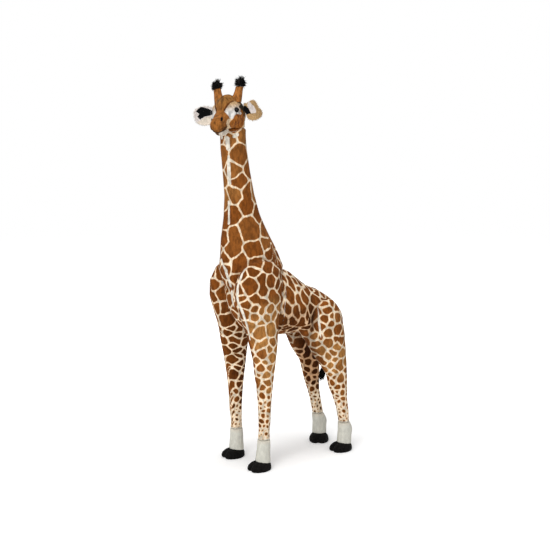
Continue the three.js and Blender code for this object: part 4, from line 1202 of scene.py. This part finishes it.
for side in ("left", "right"):
    ear = stuffed_skin(f"ear_{side}_skin", joined_solids(f"ear_{side}", f"ear_lining_{side}"), 1.3 * MM, 10)
    hinge = next(joint for joint in frame["joints"] if joint["name"] == f"ear_{side}_flap")
    root, upright = np.array(hinge["pos_m"]), np.array(hinge["axis"])
    ear_middle = np.array([vert.co for vert in frame["nodes"][f"ear_{side}"].data.vertices]).mean(0)
    reach = ear_middle - root
    reach -= (reach @ upright) * upright
    reach /= np.linalg.norm(reach)
    front = np.cross(reach, upright) * (1 if side == "left" else -1)
    flat = ear_view(ear, root, reach, upright)
    for along, up, pull_along, pull_up in EAR_PULLS[side]:
        near = hill(np.linalg.norm(flat - (along, up), axis=1), EAR_PULL_REACH)[:, None]
        put_places(ear, places(ear) + near * (pull_along * reach + pull_up * upright) * MM)
    out = outward(ear)
    flat = ear_view(ear, root, reach, upright) + 1.2 * waves(places(ear) / MM, 6, 8)[:, None]
    attribute(ear, "inner", out @ front)
    for name, corners in EAR_OUTLINES[side].items():
        attribute(ear, name, outline_distance(flat, corners))
    ear_plush = plush(f"{side} ear plush", paint_ear(side), mottling=0.22, streaks=160, fibres=1200)
    dress(ear, f"ear_{side}", [f"ear_{side}", f"ear_lining_{side}"], ear_plush)
    edge = np.abs(out @ front) < 0.5
    roots, outs = spots_on(ear, 520, seed=EDGE_SEEDS[side], keep=edge)
    spread = np.random.default_rng(33).normal(0, 0.3, roots.shape)
    fluff = set_locks(f"ear_{side}_fluff", roots - outs * 0.8 * MM, outs + spread, 5.5 * MM, 0.8 * MM, 34)
    put_on(fluff, f"ear_{side}", tan_hair if side == "left" else white_hair)
    print(f"{side} ear:", len(ear.data.vertices), "points")


# %% [markdown]
# ## Eyes and nostrils
# The eyes are glossy dark domes on stems, exactly the frame's own parts, so they only get a better
# material: nearly black, and smooth enough to catch the lamps. The nostrils are small pads of black plush.

# %% Eyes and nostrils
glass, tree, shader = new_material("dark eye")
flecks = mixed(tree, ramped(tree, grain(tree, 300.0), 0.4, 0.8), colour("#060404"), colour("#1a0e08"))
feed(shader, {"Base Color": flecks, "Roughness": 0.08, "Specular IOR Level": 0.16})
for side in ("left", "right"):
    frame["nodes"][f"eye_{side}"].material_slots[0].material = glass
    pad = stuffed_skin(f"nostril_{side}_pad", joined_solids(f"nostril_{side}"), 0.8 * MM, 4)
    dress(pad, "head", [f"nostril_{side}"], black_plush)
print("eyes and nostrils ready")

# %% [markdown]
# ## Socks and hooves
# Each leg ends in a sock of off-white plush, gathered over a black cloven hoof. The sock bulges a little
# behind, where a real giraffe has its fetlock. A hoof is two lobes with a cleft between them, and its skin
# is grown finely so that it keeps the cleft and stays flat below.

# %% Socks and hooves with a nap
def paint_sock(tree):
    """Off-white, a little warmer at the top where it meets the leg."""
    white = one_colour("#d5d4ca", "#cac8bc")(tree)
    return mixed(tree, ramped(tree, read_attribute(tree, "below leg"), 2, 16), colour("#d3cdbf"), white)


sock_plush = plush("sock plush", paint_sock, mottling=0.14, streaks=110, fibres=1000)
hoof_black = one_colour("#0b0a0a", "#171514")
hoof_plush = plush("hoof plush", hoof_black, mottling=0.9, streaks=200, fibres=1300, sheen=0.02)
FETLOCK_HEIGHT = 78 * MM
FETLOCK_REACH = 17 * MM
FETLOCK_SWELL = {"front": 2, "rear": 5.5}  # millimetres
LEGS = [f"{end}_{side}" for end in ("front", "rear") for side in ("left", "right")]
for leg in LEGS:
    sock = stuffed_skin(f"sock_{leg}_skin", joined_solids(f"sock_{leg}"), 2.0 * MM, 10)
    at, behind_leg = places(sock), outward(sock)[:, 1]
    swell = FETLOCK_SWELL[leg.split("_")[0]] * hill(at[:, 2] - FETLOCK_HEIGHT, FETLOCK_REACH)
    swell *= np.clip(behind_leg, 0, 1)
    put_places(sock, at + (swell * MM)[:, None] * (0, 1, 0))
    up = places(sock)[:, 2]
    attribute(sock, "below leg", (up.max() - up) / MM)
    dress(sock, "body", [f"sock_{leg}"], sock_plush)
    hoof = stuffed_skin(f"hoof_{leg}_skin", joined_solids(f"hoof_{leg}"), FINE_VOXEL, 8)
    dress(hoof, "body", [f"hoof_{leg}"], hoof_plush)

# %% [markdown]
# ## Mane and tail
# A short mane stands along the back of the neck, and it has to turn with the neck's skin when the head
# turns. The tail is a thin furred cord, tan above and black below, that ends in a black brush.

# %% Mane, tail root, tail cord and its brush
NECK_TWIST = {"start": (0, -0.10, 0.95), "end": tuple(HEAD_PIVOT)}
mane = stuffed_skin("mane_skin", joined_solids("mane"), FINE_VOXEL, 8)
mane.data.materials.append(horn_plush)
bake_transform(mane, "body", "head", **NECK_TWIST)
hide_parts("mane")

tail_plush = plush("tail plush", one_colour("#8a4f20", "#a36a34"), mottling=0.5, streaks=150, fibres=1100)


def paint_cord(tree):
    """Tan above, black towards the brush."""
    ragged = grain(tree, 160.0)
    above = summed(tree, read_attribute(tree, "above brush"), ragged, 20)
    return mixed(tree, ramped(tree, above, 45, 110), colour("#120c08"), colour("#8a4f20"))


cord_plush = plush("tail cord plush", paint_cord, mottling=0.5, streaks=150, fibres=1100)
root = stuffed_skin("tail_root_skin", joined_solids("tail_root"), 1.5 * MM, 8)
dress(root, "body", ["tail_root"], tail_plush)
cord = stuffed_skin("tail_cord_skin", joined_solids("tail_cord"), 1.3 * MM, 8)
core = stuffed_skin("tail_tuft_core", joined_solids("tail_tuft"), 1.5 * MM, 8)
down = places(core).mean(0) - places(cord).mean(0)
down /= np.linalg.norm(down)
TUCKED_IN = 9 * MM  # how much deeper than its solid the cord's end reaches into the brush
along = places(cord) @ down
tucked = TUCKED_IN * ease(along.max() - 25 * MM, along.max(), along)
put_places(cord, places(cord) + tucked[:, None] * down)
let_out(core, -3 * MM)
attribute(cord, "above brush", (along.max() - places(cord) @ down) / MM)
dress(cord, "tail", ["tail_cord"], cord_plush)
dress(core, "tail", ["tail_tuft"], black_plush)
at = places(core)
along = (at - at.mean(0)) @ down
roots, outs = spots_on(core, 900, seed=41, keep=along < np.quantile(along, 0.72))
ways = outs * 0.12 + down + np.random.default_rng(42).normal(0, 0.09, roots.shape)
brush = set_locks("tail_tuft_hair", roots, ways, 25 * MM, 1.8 * MM, 43, bends=(0.02, 0.1, 0.18))
put_on(brush, "tail", black_hair)
print("tail brush:", len(brush.data.polygons), "faces")

# %% [markdown]
# ## The frame inside
# Bars, rods, nuts, joint discs and sole boards stay as the frame made them. They hardly show, but a bar
# seen through a seam or from below should still be steel or board.

# %% Steel, moulded plastic and board
def plain_finish(name, first, second, scale, roughness, metallic=0.0):
    made, tree, shader = new_material(name)
    wear = grain(tree, scale, 4.0)
    relief = add_node(tree, "Bump", {"Height": wear, "Strength": 0.2, "Distance": 0.3 * MM})
    feed(shader, {
        "Base Color": mixed(tree, ramped(tree, wear, 0.35, 0.7), colour(first), colour(second)),
        "Roughness": ramped(tree, wear, 0.3, 0.8, roughness, roughness + 0.2),
        "Normal": relief.outputs[0],
        "Metallic": metallic,
    })
    return made


FINISHES = {
    "frame_steel": plain_finish("zinc-plated steel", "#8d8f90", "#6f7172", 260.0, 0.32, 1.0),
    "joint_plastic": plain_finish("moulded joint plastic", "#d9d6cc", "#c9c5b8", 500.0, 0.45),
    "sole_board": plain_finish("pressed sole board", "#8a6f4e", "#6e563a", 320.0, 0.8),
}
finished = 0
for solid in frame["nodes"].values():
    for slot in solid.material_slots:
        if slot.material and slot.material.name in FINISHES:
            slot.material = FINISHES[slot.material.name]
            finished += 1
print("frame parts finished:", finished)


# %% [markdown]
# ## The studio
# A toy is photographed on white, so the floor and the world read as white where the camera sees them. The
# light itself is one large soft lamp overhead, one in front and a pale sky, together just strong enough
# that a colour renders about as it is written. The floor also glows for the camera, more so far from the
# toy, so that only the soft shadow under the toy stays grey, and it fades out before its edge.

# %% Floor
FLOOR_REACH = 7.0
SKY_LIGHT = 0.45
WHITE = (1, 1, 1, 1)
grown = bmesh.new()
bmesh.ops.create_circle(grown, cap_ends=True, segments=96, radius=FLOOR_REACH)
floor = as_object("floor", grown)
white = bpy.data.materials.new("studio white")
white.use_nodes = True
tree = white.node_tree
tree.nodes.clear()
place = add_node(tree, "TexCoord").outputs["Object"]
far = add_node(tree, "VectorMath", {0: place}, operation="LENGTH").outputs["Value"]
seen = add_node(tree, "LightPath").outputs["Is Camera Ray"]
matte = add_node(tree, "BsdfDiffuse", {"Color": (0.95, 0.95, 0.95, 1)})
brighter = ramped(tree, far, 0.45, 1.25, 0.22, 0.85)
glow = add_node(tree, "Emission", {"Strength": part_of(tree, seen, brighter)})
both = add_node(tree, "AddShader", {0: matte.outputs[0], 1: glow.outputs[0]})
clear = add_node(tree, "BsdfTransparent")
fade = ramped(tree, far, 1.2, 0.9 * FLOOR_REACH)
faded = add_node(tree, "MixShader", {0: fade, 1: both.outputs[0], 2: clear.outputs[0]})
add_node(tree, "OutputMaterial", {0: faded.outputs[0]})
floor.data.materials.append(white)

# %% Sky: white where it is seen, dimmer where it lights the toy
sky = bpy.data.worlds.new("sky")
bpy.context.scene.world = sky
sky.use_nodes = True
tree = sky.node_tree
ray = add_node(tree, "LightPath").outputs
seen = calculated(tree, "MAXIMUM", ray["Is Camera Ray"], ray["Is Glossy Ray"])
seen = calculated(tree, "MAXIMUM", seen, ray["Is Transmission Ray"])
strength = add_node(tree, "MapRange", {"Value": seen, "To Min": SKY_LIGHT, "To Max": 1.0}).outputs[0]
feed(tree.nodes["Background"], {"Color": WHITE, "Strength": strength})

# %% Lamps
# Each lamp: its place, the width of its disc and its power in watts.
LAMPS = {
    "overhead": ((0.15, -0.25, 3.9), 1.6, 62),
    "front": ((2.4, -3.3, 2.1), 2.4, 92),
}
for name, (place, size, power) in LAMPS.items():
    data = bpy.data.lights.new(name, "AREA")
    data.shape = "DISK"
    data.size = size
    data.energy = power
    lamp = bpy.data.objects.new(name, data)
    lamp.location = place
    lamp.rotation_euler = (CAMERA_AIM - Vector(place)).to_track_quat("-Z", "Y").to_euler()
    bpy.context.collection.objects.link(lamp)
bpy.context.scene.view_settings.view_transform = "Standard"
print("studio:", ", ".join(LAMPS))
